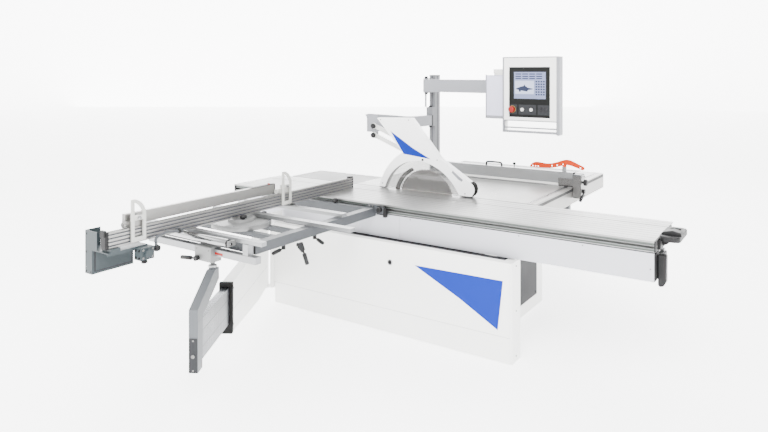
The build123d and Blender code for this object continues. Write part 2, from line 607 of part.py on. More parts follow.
def hood_outline():
    """Front view of the hood, in x and z: slanted head, two legs and the blade arch between them."""
    with BuildSketch(Plane.XY) as outline:
        with BuildLine():
            Polyline((-455, 1431), (-129, 1442), (135, 1137), (395, 976))
            ThreePointArc((395, 976), (428, 930), (412, 885))
            Polyline((412, 885), (404, 872), (299, 872))
            ThreePointArc((299, 872), (162, 1031), (-63, 1107))
            ThreePointArc((-63, 1107), (-245, 1050), (-376, 872))
            Line((-376, 872), (-432, 872))
            ThreePointArc((-432, 872), (-345, 1048), (-207, 1164))
            Line((-207, 1164), (-455, 1431))
        make_face()
    return outline.sketch


def hood():
    drop = radians(LINK_DROP)
    ends = [(x + LINK * cos(drop), z - LINK * sin(drop)) for x, z in LINK_PIVOTS]
    front, back = HOOD_Y
    wall = 4
    outline = hood_outline()
    chamber = [(-430, 1420), (-137, 1431), (118, 1132), (235, 1062), (160, 1060), (-60, 1130), (-150, 1140)]
    with BuildPart() as hood_shell:
        with BuildSketch(along_y(back)):
            add(outline)
        extrude(amount=back - front)
        prism(along_y(back - wall), chamber, back - front - 2 * wall, mode=Mode.SUBTRACT)
        for x, z in ends:
            rod(along_y(LINK_Y[1] + 2), (x, z), 8, LINK_Y[1] + 2 - back + wall)
            rod(along_y(LINK_Y[1] + 8), (x, z), 13, 6.5)
            rod(along_y(back + 1), (x, z), 20, wall + 1)
    save(hood_shell, "hood_shell")

    with BuildPart() as hood_window:
        # clear pane that closes the arch on the carriage side
        with BuildSketch(along_y(front + 5)) as pane:
            with BuildLine():
                ThreePointArc((298, 873), (161, 1030), (-63, 1106))
                ThreePointArc((-63, 1106), (-244.5, 1049), (-375, 873))
                Line((-375, 873), (298, 873))
            make_face()
        extrude(pane.sketch, amount=3)
    save(hood_window, "hood_window")

    arm_side = [(1100, 1288), (1100, 1385), (727, 1392), (76, 1452), (76, 1300), (727, 1290)]
    arm_hollow = [(1096, 1293), (1096, 1380), (727, 1387), (80, 1446), (80, 1305), (727, 1295)]
    with BuildPart() as hood_arm:
        prism(along_x(HOOD_ARM_X[0]), arm_side, HOOD_ARM_X[1] - HOOD_ARM_X[0])
        prism(along_x(HOOD_ARM_X[0] + 4), arm_hollow, HOOD_ARM_X[1] - HOOD_ARM_X[0] - 8, mode=Mode.SUBTRACT)
        prism(along_y(77), [(-650, 1449), (-520, 1449), (-520, 1250), (-560, 1250), (-574, 1264), (-574, 1335)], 13)
        for x, z in LINK_PIVOTS:
            rod(along_y(64), (x, z), 8, 64 - LINK_Y[0] + 2)
            rod(along_y(LINK_Y[0] - 0.5), (x, z), 13, 6)
    save(hood_arm, "hood_arm")

    for name, (x, z), fit in (("link_lower", LINK_PIVOTS[0], PIN_FIT), ("link_upper", LINK_PIVOTS[1], 1.0)):
        with BuildPart() as link:
            tilted = Plane(origin=(x, LINK_Y[1], z), x_dir=(cos(drop), 0, -sin(drop)), z_dir=(0, -1, 0))
            with BuildSketch(tilted) as strap:
                with Locations((LINK / 2, 0)):
                    SlotCenterToCenter(LINK, 36)
                Circle(8 + PIN_FIT, mode=Mode.SUBTRACT)
                with Locations((LINK, 0)):
                    Circle(8 + fit, mode=Mode.SUBTRACT)
            extrude(strap.sketch, amount=LINK_Y[1] - LINK_Y[0])
        save(link, name)


# ---------------------------------------------------------------- saw unit under the table
def rim(radius, angle):
    """Point around the saw arbor, in x and z."""
    return ARBOR[0] + radius * cos(radians(angle)), ARBOR[1] + radius * sin(radians(angle))


def saw_unit():
    ring = (199.5, 230)
    with BuildPart() as trunnions:
        # fixed trunnion plates with an arc groove centred on the blade's line in the table surface
        for x, groove_x in ((-446, -434), (458, 458)):
            prism(along_x(x), [(-60, 610), (300, 610), (300, 819.5), (20, 819.5), (-60, 720)], 18)
            with BuildSketch(along_x(groove_x)) as arc:
                with BuildLine():
                    CenterArc((0, TABLE_Z), ring[1] + GAP, -98, 88)
                    CenterArc((0, TABLE_Z), ring[0] - GAP, -98, 88)
                    for a in (-98, -10):
                        t = radians(a)
                        Line(((ring[0] - GAP) * cos(t), TABLE_Z + (ring[0] - GAP) * sin(t)),
                             ((ring[1] + GAP) * cos(t), TABLE_Z + (ring[1] + GAP) * sin(t)))
                make_face()
            extrude(arc.sketch, amount=6.5, mode=Mode.SUBTRACT)
    save(trunnions, "trunnions")

    with BuildPart() as saw_cradle:
        for x, key_x in ((-427, -433.5), (445, 457)):
            prism(along_x(x), [(70, 808), (225, 808), (225, 470), (40, 470), (40, 700), (70, 740)], 12)
            with BuildSketch(along_x(key_x)) as arc:
                with BuildLine():
                    CenterArc((0, TABLE_Z), ring[1], -50, 30)
                    CenterArc((0, TABLE_Z), ring[0], -50, 30)
                    for a in (-50, -20):
                        t = radians(a)
                        Line((ring[0] * cos(t), TABLE_Z + ring[0] * sin(t)),
                             (ring[1] * cos(t), TABLE_Z + ring[1] * sin(t)))
                make_face()
            extrude(arc.sketch, amount=7.5)
        block((-416, 446), (50, 110), (470, 505))
        for x in GUIDE_RODS_X:
            rod(Plane.XY.offset(504), (x, 80), 16, 300)
        block((-416, -402), (60, 100), (505, 800))
        block((-416, -180), (60, 100), (770, 800))
        block((380, 446), (60, 100), (770, 800))
    save(saw_cradle, "saw_cradle")

    with BuildPart() as lift_slide:
        block((-240, 430), (52, 106), (690, 745))
        for x in GUIDE_RODS_X:
            rod(Plane.XY.offset(680), (x, 80), 16 + PIN_FIT, 80, mode=Mode.SUBTRACT)
        block((ARBOR[0] - 45, ARBOR[0] + 45), (24, 104), (744, ARBOR[1]))
        rod(along_y(104), ARBOR, 44, 80)
        rod(along_y(110), ARBOR, 16 + PIN_FIT, 90, mode=Mode.SUBTRACT)
        # scoring spindle housing
        block((SCORER[0] - 25, SCORER[0] + 5), (24, 104), (740, SCORER[1]))
        rod(along_y(104), SCORER, 26, 80)
        rod(along_y(110), SCORER, 10 + PIN_FIT, 90, mode=Mode.SUBTRACT)
        # motor plate behind the belt
        block((225, 262), (104, 150), (700, 744))
        block((40, 262), (142, 150), (470, 744))
        rod(along_y(150), MOTOR, 22, 10, mode=Mode.SUBTRACT)
        # riving knife post
        block((-300, -236), (10, 60), (700, 740))
        block((-300, -276), (2, 14), (700, 800))
    save(lift_slide, "lift_slide")

    with BuildPart() as motor:
        rod(along_y(400), MOTOR, 100, 250)
        with BuildSketch(Plane(origin=(MOTOR[0], 380, MOTOR[1]), z_dir=(0, -1, 0))):
            with PolarLocations(102, 24):
                Rectangle(10, 4)
        extrude(amount=210)
        block((MOTOR[0] - 45, MOTOR[0] + 45), (220, 320), (MOTOR[1] - 135, MOTOR[1] - 90))
        rod(along_y(401), MOTOR, 15 + PIN_FIT, 260, mode=Mode.SUBTRACT)
    save(motor, "motor")

    with BuildPart() as motor_pulley:
        rod(along_y(BELT_Y[1]), MOTOR, MOTOR_PULLEY_R, BELT_Y[1] - BELT_Y[0])
        rod(along_y(300), MOTOR, 15, 190)
    save(motor_pulley, "motor_pulley")

    with BuildPart() as arbor:
        rod(along_y(BELT_Y[1]), ARBOR, ARBOR_PULLEY_R, 28)
        rod(along_y(BELT_Y[1]), ARBOR, 16, 156)
        rod(along_y(20), ARBOR, 35, 20 - BLADE_THICK / 2)
        rod(along_y(-BLADE_THICK / 2), ARBOR, 35, 9)
        rod(along_y(-11), ARBOR, 20, 8)
    save(arbor, "arbor")

    with BuildPart() as saw_blade:
        teeth = 60
        pitch = 360 / teeth
        rim_points = []
        for i in range(teeth):
            rim_points += [rim(BLADE_R - 11, i * pitch), rim(BLADE_R, (i + 0.3) * pitch),
                           rim(BLADE_R - 1, (i + 0.65) * pitch)]
        prism(along_y(BLADE_THICK / 2), rim_points, BLADE_THICK)
        rod(along_y(BLADE_THICK), ARBOR, 16, 2 * BLADE_THICK, mode=Mode.SUBTRACT)
    save(saw_blade, "saw_blade")

    with BuildPart() as drive_belt:
        with BuildSketch(along_y(BELT_Y[1] - 4)) as loop:
            for grow, how in ((5, Mode.ADD), (GAP, Mode.SUBTRACT)):
                with BuildSketch(Plane.XY, mode=Mode.PRIVATE) as pulleys:
                    with Locations(ARBOR):
                        Circle(ARBOR_PULLEY_R + grow)
                    with Locations(MOTOR):
                        Circle(MOTOR_PULLEY_R + grow)
                ring_face = make_hull(pulleys.sketch.edges(), mode=Mode.PRIVATE)
                add(ring_face, mode=how)
        extrude(loop.sketch, amount=22)
    save(drive_belt, "drive_belt")

    with BuildPart() as riving_knife:
        # crescent behind the blade, a constant gap from its rim
        gap_r, back_r = BLADE_R + 6, BLADE_R + 48
        with BuildSketch(along_y(1.5)) as crescent:
            with BuildLine():
                inner = ThreePointArc(rim(gap_r, 177), rim(gap_r, 146), rim(gap_r, 115))
                outer = ThreePointArc(rim(back_r, 177), rim(back_r - 4, 147), rim(gap_r + 28, 117))
                Line(inner @ 0, outer @ 0)
                Line(inner @ 1, outer @ 1)
            make_face()
            with Locations((-285, 765)):
                Rectangle(34, 110)
        extrude(crescent.sketch, amount=3)
    save(riving_knife, "riving_knife")

    with BuildPart() as scoring_saw:
        rod(along_y(1.6), SCORER, SCORER_R, 3.2)
        rod(along_y(20), SCORER, 22, 18.5)
        rod(along_y(104), SCORER, 10, 112)
    save(scoring_saw, "scoring_saw")


# ---------------------------------------------------------------- rip fence
def rip_fence():
    with BuildPart() as rip_block:
        # hook that rides on the guide rail's slot, with the clamp head above it
        block((895, 962), (832, 932), (775, 965))
        fillet(rip_block.edges().filter_by(Axis.Y).group_by(Axis.X)[-1].sort_by(Axis.Z)[-1], 14)
        block((876, 896), (836, 928), (834, 848))
        block((560, 896), (872, 888), (884, 900))
        block((770, 896), (836, 848.5), (863, 930))
        rod(along_x(962), (882, 830), 10, -30, mode=Mode.SUBTRACT)
    save(rip_block, "rip_block")

    with BuildPart() as rip_profile:
        face = RIP_FACE_Y
        section = [(face, 866), (face, 980), (face + 60, 980), (face + 60, 866)]
        prism(along_x(-430), section, 1320)
        for z in ((872, 918), (924, 974)):
            block((-430, 890), (face + 6, face + 54), z, mode=Mode.SUBTRACT)
        for z in (890, 950):
            block((-430, 890), (face, face + 6), (z, z + 8), mode=Mode.SUBTRACT)
        block((-434, -430), (face + 1, face + 59), (867, 979))
        # peg of the push stick
        block((790, 822), (face + 28, face + 44), (980, 1016))
    save(rip_profile, "rip_profile")

    with BuildPart() as rip_lever:
        rod(along_x(934), (882, 830), 10 - PIN_FIT, 42)
        rod(along_x(962 + GAP), (882, 830), 17, 16)
        rod(Plane(origin=(975, 872, 824), z_dir=(0, -1, -0.5)), (0, 0), 7, 60)
        rod(Plane(origin=(975, 822, 799), z_dir=(0, -1, -0.5)), (0, 0), 12, 62)
    save(rip_lever, "rip_lever")

    with BuildPart() as push_stick:
        with BuildSketch(along_y(RIP_FACE_Y + 40)) as stick:
            with BuildLine():
                Spline((505, 1000), (550, 1040), (640, 1036), (740, 1052), (840, 1079), (885, 1066), (962, 1032))
                ThreePointArc((962, 1032), (972, 1010), (950, 1003))
                Spline((950, 1003), (880, 1026), (835, 1034), (740, 1010), (640, 996), (570, 994), (505, 1000))
            make_face()
            for x, z in ((532, 1007), (556, 1006), (580, 1006), (700, 1019), (745, 1026), (795, 1036), (940, 1018)):
                with Locations((x, z)):
                    Circle(6, mode=Mode.SUBTRACT)
        extrude(stick.sketch, amount=8)
        block((790, 822), (RIP_FACE_Y + 32, RIP_FACE_Y + 40), (1016.5, 1034))
    save(push_stick, "push_stick")


base()
tables()
carriage()
outrigger()
fence()
swing_arm()
mast_and_boom()
hood()
saw_unit()
rip_fence()
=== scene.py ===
"""Looks of the sliding-table panel saw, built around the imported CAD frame.

x runs right along the carriage, y to the rear and z up. Piece sizes and places are in mm, and so is bevel.
Materials, modifiers and the studio are in metres.
"""
from math import atan2, cos, hypot, pi, radians, sin

import bmesh
import bpy
from mathutils import Matrix, Vector


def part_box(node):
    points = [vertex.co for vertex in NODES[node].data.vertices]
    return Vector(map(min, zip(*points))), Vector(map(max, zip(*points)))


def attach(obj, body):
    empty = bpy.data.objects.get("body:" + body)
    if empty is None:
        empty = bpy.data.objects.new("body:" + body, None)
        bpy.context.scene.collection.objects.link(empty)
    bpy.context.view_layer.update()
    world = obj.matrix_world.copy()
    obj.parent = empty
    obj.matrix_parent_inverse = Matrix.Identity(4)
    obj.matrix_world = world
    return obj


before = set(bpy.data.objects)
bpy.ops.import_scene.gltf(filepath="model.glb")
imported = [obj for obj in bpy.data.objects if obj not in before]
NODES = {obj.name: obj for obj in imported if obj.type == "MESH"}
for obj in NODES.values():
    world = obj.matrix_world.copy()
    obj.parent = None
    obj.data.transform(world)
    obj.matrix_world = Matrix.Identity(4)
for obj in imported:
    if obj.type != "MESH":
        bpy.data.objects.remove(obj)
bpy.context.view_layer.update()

RIGHT, LEFT = (1, 0, 0), (-1, 0, 0)
REAR, FRONT = (0, 1, 0), (0, -1, 0)
UP, DOWN = (0, 0, 1), (0, 0, -1)

# The Mix node has sockets of the same name for numbers and colours, so the colour ones go by number.
MIX_FACTOR, MIX_FIRST, MIX_SECOND, MIX_RESULT = 0, 6, 7, 2

WELD_GAP = 0.00001
CAD_EDGE = 0.0012
CAD_EDGE_ANGLE = 40


def mm(*values):
    """Millimetres in the part's frame, as metres."""
    return Vector([v / 1000 for v in values])


def corners(node):
    """A node's lowest and highest corner at rest, in mm to the nearest hundredth."""
    return [Vector([round(c * 1000, 2) for c in corner]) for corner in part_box(node)]


# ---------------------------------------------------------------- materials
ALONG_X, ALONG_Y = (4, 900, 900), (900, 4, 900)
PAINT = (700, 700, 700)
WEAR_SCALE = 3.5

# The stretch of the mixed noise that colour and roughness are spread over.
NOISE_LOW, NOISE_HIGH = 0.3, 0.7


def material(name, color, rough=0.4, metal=0.0, grain=(60, 60, 60), vary=0.05, bump=0.15, rough_vary=0.1,
             fine=0.0003, **sockets):
    """Principled surface with grain in colour, roughness and bump.

    grain is the noise scale along x, y and z. vary is how far the colour strays, as a share of it. fine is
    the depth of the bump.
    """
    made = bpy.data.materials.new(name)
    made.use_nodes = True
    tree = made.node_tree
    shader = tree.nodes["Principled BSDF"]
    shader.inputs["Metallic"].default_value = metal
    for socket, value in sockets.items():
        shader.inputs[socket.replace("_", " ")].default_value = value
    coords = tree.nodes.new("ShaderNodeTexCoord")
    mapping = tree.nodes.new("ShaderNodeMapping")
    mapping.inputs["Scale"].default_value = grain
    noise = tree.nodes.new("ShaderNodeTexNoise")
    noise.inputs["Scale"].default_value = 1
    noise.inputs["Detail"].default_value = 5
    tree.links.new(coords.outputs["Object"], mapping.inputs["Vector"])
    tree.links.new(mapping.outputs["Vector"], noise.inputs["Vector"])
    wear = tree.nodes.new("ShaderNodeTexNoise")
    wear.inputs["Scale"].default_value = WEAR_SCALE
    wear.inputs["Detail"].default_value = 6
    tree.links.new(coords.outputs["Object"], wear.inputs["Vector"])
    both = tree.nodes.new("ShaderNodeMath")
    both.operation = "MULTIPLY_ADD"
    both.inputs[1].default_value = 0.5
    tree.links.new(wear.outputs["Fac"], both.inputs[0])
    halved = tree.nodes.new("ShaderNodeMath")
    halved.operation = "MULTIPLY"
    halved.inputs[1].default_value = 0.5
    tree.links.new(noise.outputs["Fac"], halved.inputs[0])
    tree.links.new(halved.outputs[0], both.inputs[2])
    ramp = tree.nodes.new("ShaderNodeValToRGB")
    ramp.color_ramp.elements[0].position = NOISE_LOW
    ramp.color_ramp.elements[1].position = NOISE_HIGH
    ramp.color_ramp.elements[0].color = [*(c * (1 - vary) for c in color), 1]
    ramp.color_ramp.elements[1].color = [*(min(1, c * (1 + vary)) for c in color), 1]
    tree.links.new(both.outputs[0], ramp.inputs["Fac"])
    tree.links.new(ramp.outputs["Color"], shader.inputs["Base Color"])
    spread = tree.nodes.new("ShaderNodeMapRange")
    spread.inputs["From Min"].default_value = NOISE_LOW
    spread.inputs["From Max"].default_value = NOISE_HIGH
    spread.inputs["To Min"].default_value = max(0.02, rough - rough_vary)
    spread.inputs["To Max"].default_value = rough + rough_vary
    tree.links.new(both.outputs[0], spread.inputs["Value"])
    tree.links.new(spread.outputs["Result"], shader.inputs["Roughness"])
    raised = tree.nodes.new("ShaderNodeBump")
    raised.inputs["Strength"].default_value = bump
    raised.inputs["Distance"].default_value = fine
    tree.links.new(noise.outputs["Fac"], raised.inputs["Height"])
    tree.links.new(raised.outputs["Normal"], shader.inputs["Normal"])
    return made


def painted_shade_band(made, axis, low, high, front, color):
    """Paints shade as a darker colour over what lies between low and high on axis and has y below front."""
    tree = made.node_tree
    ramp = next(n for n in tree.nodes if n.type == "VALTORGB")
    shader = tree.nodes["Principled BSDF"]
    coords = next(n for n in tree.nodes if n.type == "TEX_COORD")
    split = tree.nodes.new("ShaderNodeSeparateXYZ")
    tree.links.new(coords.outputs["Object"], split.inputs[0])
    inside = tree.nodes.new("ShaderNodeMath")
    inside.operation = "COMPARE"
    inside.inputs[1].default_value = (low + high) / 2
    inside.inputs[2].default_value = (high - low) / 2
    tree.links.new(split.outputs[axis], inside.inputs[0])
    ahead = tree.nodes.new("ShaderNodeMath")
    ahead.operation = "LESS_THAN"
    ahead.inputs[1].default_value = front
    tree.links.new(split.outputs["Y"], ahead.inputs[0])
    mask = tree.nodes.new("ShaderNodeMath")
    mask.operation = "MULTIPLY"
    tree.links.new(inside.outputs[0], mask.inputs[0])
    tree.links.new(ahead.outputs[0], mask.inputs[1])
    mix = tree.nodes.new("ShaderNodeMix")
    mix.data_type = "RGBA"
    mix.inputs[MIX_SECOND].default_value = [*color, 1]
    tree.links.new(mask.outputs[0], mix.inputs[MIX_FACTOR])
    tree.links.new(ramp.outputs["Color"], mix.inputs[MIX_FIRST])
    tree.links.new(mix.outputs[MIX_RESULT], shader.inputs["Base Color"])


def ringed(made, centre, scale):
    """Turns a material's grain into rings round a point, as a ground disc has."""
    tree = made.node_tree
    coords = next(n for n in tree.nodes if n.type == "TEX_COORD")
    mapping = next(n for n in tree.nodes if n.type == "MAPPING")
    noise = mapping.outputs["Vector"].links[0].to_node
    away = tree.nodes.new("ShaderNodeVectorMath")
    away.operation = "DISTANCE"
    away.inputs[1].default_value = centre
    tree.links.new(coords.outputs["Object"], away.inputs[0])
    rings = tree.nodes.new("ShaderNodeMath")
    rings.operation = "MULTIPLY"
    rings.inputs[1].default_value = scale
    tree.links.new(away.outputs["Value"], rings.inputs[0])
    tree.links.new(rings.outputs[0], noise.inputs["Vector"])


def paint(name, color, rough=0.42, vary=0.03, bump=0.12, specular=0.3):
    """A painted or moulded surface with an even, fine grain."""
    return material(name, color, rough, grain=PAINT, vary=vary, bump=bump, Specular_IOR_Level=specular)


def glowing(made, color, strength):
    """Makes a material give off light of its own."""
    sockets = made.node_tree.nodes["Principled BSDF"].inputs
    sockets["Emission Color"].default_value = (*color, 1)
    sockets["Emission Strength"].default_value = strength


def clear(name, color, rough):
    """A see-through sheet."""
    made = material(name, color, rough, vary=0.01, bump=0.02, rough_vary=0.01)
    shader = made.node_tree.nodes["Principled BSDF"]
    shader.inputs["Transmission Weight"].default_value = 0.92
    shader.inputs["IOR"].default_value = 1.45
    return made


white = paint("white_paint", (0.82, 0.82, 0.80), 0.38, vary=0.012, specular=0.5)
shell = material("hood_white", (0.88, 0.88, 0.88), 0.3, grain=PAINT, vary=0.01, bump=0.05, Coat_Weight=0.25)
grey = paint("grey_paint", (0.05, 0.054, 0.059))
mast_grey = paint("mast_grey_paint", (0.13, 0.133, 0.143))
post_grey = paint("post_grey_paint", (0.075, 0.081, 0.088))
table_grey = paint("table_grey_paint", (0.12, 0.121, 0.122), 0.45, vary=0.02, bump=0.1, specular=0.5)
light_grey = paint("light_grey_paint", (0.22, 0.225, 0.245), vary=0.02, bump=0.1)
# The end box's grey is taken from its shaded front side: the box's own dark grey with painted shade in it.
end_box_shade_grey = paint("end_box_shade_grey_paint", (0.024, 0.033, 0.037))
dark = paint("dark_paint", (0.02, 0.021, 0.023), 0.55, vary=0.1, bump=0.15, specular=0.15)
inset = paint("inset_grey_paint", (0.022, 0.022, 0.024), 0.55, vary=0.04, specular=0.12)
blue = paint("blue_paint", (0.005, 0.02, 0.22), 0.5, vary=0.02, bump=0.08, specular=0.08)
anodised_x = material("anodised_along_x", (0.27, 0.275, 0.28), 0.36, 0.85, ALONG_X, 0.04, 0.08)
carriage_skin = material("carriage_anodised", (0.27, 0.27, 0.267), 0.38, 0.8, ALONG_X, 0.035, 0.08)
fascia_skin = material("fascia_anodised", (0.46, 0.465, 0.50), 0.42, 0.4, ALONG_X, 0.02, 0.05)
anodised_y = material("anodised_along_y", (0.27, 0.265, 0.255), 0.36, 0.85, ALONG_Y, 0.05, 0.08)
inner_skin = material("inner_arm_anodised", (0.11, 0.116, 0.126), 0.3, 0.9, (300, 300, 4), 0.06, 0.1)
cast = material("cast_aluminium", (0.19, 0.192, 0.19), 0.5, 0.55, (260, 260, 260), 0.06, 0.6, fine=0.0006)
cast_white = material("stop_casting", (0.42, 0.42, 0.395), 0.5, 0.1, (260, 260, 260), 0.03, 0.5, fine=0.0005)
iron = material("ground_iron", (0.27, 0.27, 0.265), 0.36, 0.85, (6, 420, 420), 0.09, 0.1, 0.12)
rough_iron = material("rough_iron", (0.12, 0.122, 0.126), 0.65, 0.4, (180, 180, 180), 0.15, 0.8, fine=0.001)
steel = material("ground_steel", (0.17, 0.168, 0.165), 0.3, 0.95, (200, 200, 200), 0.08, 0.1)
blade_skin = material("blade_steel", (0.62, 0.585, 0.565), 0.34, 0.9, vary=0.12, bump=0.1)
knife_skin = material("knife_steel", (0.17, 0.15, 0.14), 0.38, 0.9, (300, 40, 300), 0.1, 0.1)
chrome = material("chrome", (0.3, 0.303, 0.306), 0.12, 1.0, ALONG_X, 0.03, 0.03, 0.04)
black = material("black_plastic", (0.009, 0.009, 0.0095), 0.5, grain=(900, 900, 900), vary=0.12, bump=0.4,
                 Specular_IOR_Level=0.2)
rubber = material("rubber", (0.008, 0.008, 0.008), 0.8, grain=(500, 500, 500), vary=0.15, bump=0.5,
                  Specular_IOR_Level=0.15)
red = paint("red_plastic", (0.22, 0.004, 0.002), 0.3, vary=0.04, bump=0.03, specular=0.25)
orange = paint("orange_plastic", (0.42, 0.03, 0.002), 0.36, vary=0.05, bump=0.1, specular=0.15)
lilac = paint("paper_sleeve", (0.55, 0.55, 0.68), 0.3, vary=0.01, bump=0.05, specular=0.5)
knob_white = paint("knob_white", (0.62, 0.62, 0.60), 0.3, vary=0.02, bump=0.05, specular=0.5)
brass = material("brass", (0.4, 0.27, 0.09), 0.3, 1.0, vary=0.06)
pane = clear("clear_pane", (0.42, 0.42, 0.415), 0.06)
face = paint("panel_face", (0.005, 0.0055, 0.005), 0.45, vary=0.05, bump=0.08, specular=0.12)
display = material("display", (0.12, 0.14, 0.24), 0.3, vary=0.03, bump=0.0, Specular_IOR_Level=0.15)
ink = material("display_ink", (0.02, 0.025, 0.05), 0.3, vary=0.05, bump=0.0, Specular_IOR_Level=0.1)
pale_ink = material("display_pale", (0.3, 0.33, 0.46), 0.2, vary=0.02, bump=0.0)
glowing(display, (0.45, 0.5, 0.72), 0.35)
glowing(pale_ink, (0.7, 0.75, 0.95), 0.3)
# Painted shade in the carriage's front T-slot: the band over the slot is coloured darker.
painted_shade_band(carriage_skin, "Z", 0.801, 0.849, -0.5745, (0.10, 0.112, 0.105))
ringed(blade_skin, (-0.01, 0, 0.79), 900)

# A lookup of the grey looks to the record's grey_paint slot, which is built and then not kept.
dict.fromkeys((grey, mast_grey, post_grey, light_grey, end_box_shade_grey), "grey_paint")
CAD_LOOKS = {
    white: ("base_frame", "front_panel", "kick_plate", "body_covers", "outer_arm", "panel_box"),
    table_grey: ("extension_tables",),
    shell: ("hood_shell",),
    pane: ("hood_window",),
    carriage_skin: ("carriage_top",),
    fascia_skin: ("beam_fascia",),
    anodised_x: ("guide_beam", "outrigger_bars", "rip_profile", "support_rail"),
    inner_skin: ("inner_arm",),
    anodised_y: ("fence_profile", "extension_bar", "rip_guide_rail"),
    grey: ("outrigger_frame", "legs_and_feet", "bent_handle"),
    mast_grey: ("mast",),
    light_grey: ("boom", "hood_arm"),
    post_grey: ("arm_post",),
    knob_white: ("link_lower", "link_upper", "selector_1", "selector_2"),
    # The end box's grey holds painted shade.
    end_box_shade_grey: ("end_box",),
    iron: ("cast_table",),
    rough_iron: ("trunnions", "saw_cradle", "lift_slide"),
    cast: ("protractor_disc", "fence_hub", "rail_clamp"),
    cast_white: ("stop_plate_1", "stop_plate_2", "stop_carrier"),
    blade_skin: ("saw_blade", "scoring_saw"),
    steel: ("roller_cage", "arbor", "motor_pulley", "rip_block"),
    knife_skin: ("riving_knife",),
    chrome: ("edge_roller",),
    dark: ("motor",),
    rubber: ("drive_belt",),
    red: ("estop_button",),
    orange: ("push_stick",),
    black: ("carriage_ends", "carriage_handle", "panel_lock", "clamp_knob",
            "rail_clamp_lever", "frame_lever", "rip_lever"),
}
for look, names in CAD_LOOKS.items():
    for name in names:
        mesh = NODES[name].data
        mesh.materials.clear()
        mesh.materials.append(look)

# These nodes are thin or have many fine edges, so they get no bevel.
SHARP = ("hood_window", "saw_blade", "scoring_saw", "carriage_top", "roller_cage", "drive_belt",
         "beam_fascia", "kick_plate")
for name, node in NODES.items():
    weld = node.modifiers.new("weld", "WELD")
    weld.merge_threshold = WELD_GAP
    if name not in SHARP:
        edge = node.modifiers.new("edge", "BEVEL")
        edge.width = CAD_EDGE
        edge.segments = 2
        edge.limit_method = "ANGLE"
        edge.angle_limit = radians(CAD_EDGE_ANGLE)
        edge.harden_normals = True


# ---------------------------------------------------------------- piece builders
def finished(name, bm, body, look, bevel=0.8, smooth=35):
    """Makes a mesh piece that rides on a body, with softened edges. bevel is in mm."""
    bmesh.ops.recalc_face_normals(bm, faces=bm.faces)
    mesh = bpy.data.meshes.new(name)
    bm.to_mesh(mesh)
    bm.free()
    mesh.materials.append(look)
    for polygon in mesh.polygons:
        polygon.use_smooth = True
    mesh.set_sharp_from_angle(angle=radians(smooth))
    piece = bpy.data.objects.new(name, mesh)
    bpy.context.scene.collection.objects.link(piece)
    if bevel:
        edge = piece.modifiers.new("edge", "BEVEL")
        edge.width = bevel / 1000
        edge.segments = 3
        edge.limit_method = "ANGLE"
        edge.angle_limit = radians(smooth)
        edge.harden_normals = True
    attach(piece, body)
    return piece


def boxes(name, body, look, spans, bevel=0.8, turn=None):
    """One piece made of boxes, each ((x, x), (y, y), (z, z)) in mm. turn is a matrix for them all."""
    bm = bmesh.new()
    for x, y, z in spans:
        corners = bmesh.ops.create_cube(bm, size=1)["verts"]
        size = mm(x[1] - x[0], y[1] - y[0], z[1] - z[0])
        middle = mm((x[0] + x[1]) / 2, (y[0] + y[1]) / 2, (z[0] + z[1]) / 2)
        bmesh.ops.scale(bm, vec=size, verts=corners)
        bmesh.ops.translate(bm, vec=middle, verts=corners)
    if turn is not None:
        bm.transform(turn)
    return finished(name, bm, body, look, bevel)


def turned(name, body, look, axis, profile, spots, segments=40, bevel=0.0):
    """The same turned shape at several spots. profile holds (radius, distance along axis) in mm."""
    along = Vector(axis).normalized()
    turn = Vector((0, 0, 1)).rotation_difference(along).to_matrix().to_4x4()
    bm = bmesh.new()
    for spot in spots:
        rings = []
        for radius, far in profile:
            steps = [2 * pi * i / segments for i in range(segments)]
            rings.append([bm.verts.new(mm(radius * cos(a), radius * sin(a), far)) for a in steps])
        for low, high in zip(rings, rings[1:]):
            for i in range(segments):
                j = (i + 1) % segments
                bm.faces.new((low[i], low[j], high[j], high[i]))
        bm.faces.new(rings[0])
        bm.faces.new(rings[-1])
        placed = [v for ring in rings for v in ring]
        bmesh.ops.transform(bm, matrix=Matrix.Translation(mm(*spot)) @ turn, verts=placed)
    return finished(name, bm, body, look, bevel)


def plate(name, body, look, points, origin, right, up, thick, bevel=0.5, turn=None):
    """An outline in mm in the plane of right and up at origin, made thick mm thick along right x up."""
    right, up = Vector(right).normalized(), Vector(up).normalized()
    out = right.cross(up)
    bm = bmesh.new()
    near = [bm.verts.new(mm(*origin) + right * (a / 1000) + up * (b / 1000)) for a, b in points]
    grown = bmesh.ops.extrude_face_region(bm, geom=[bm.faces.new(near)])["geom"]
    far = [g for g in grown if isinstance(g, bmesh.types.BMVert)]
    bmesh.ops.translate(bm, vec=out * (thick / 1000), verts=far)
    if turn is not None:
        bm.transform(turn)
    return finished(name, bm, body, look, bevel)


def screw(name, body, look, axis, spots, radius=5, height=3):
    """Socket-head screws: a domed head with a sunk recess."""
    profile = [(radius, 0), (radius, height * 0.7), (radius * 0.86, height), (radius * 0.45, height),
               (radius * 0.4, height * 0.35), (0.1, height * 0.35)]
    return turned(name, body, look, axis, profile, spots, 20)


def linked(name, curve, look):
    """Puts a curve into the scene as an object of its own."""
    curve.materials.append(look)
    piece = bpy.data.objects.new(name, curve)
    bpy.context.scene.collection.objects.link(piece)
    return piece


def tube(curve, points, radius):
    """A smooth round tube through points in mm."""
    curve.dimensions = "3D"
    curve.bevel_depth = radius / 1000
    curve.bevel_resolution = 6
    curve.use_fill_caps = True
    line = curve.splines.new("NURBS")
    line.points.add(len(points) - 1)
    for point, spot in zip(line.points, points):
        point.co = (*mm(*spot), 1)
    line.order_u = 3
    line.use_endpoint_u = True


# ---------------------------------------------------------------- base
ARM_HINGE = (-1045, -745)


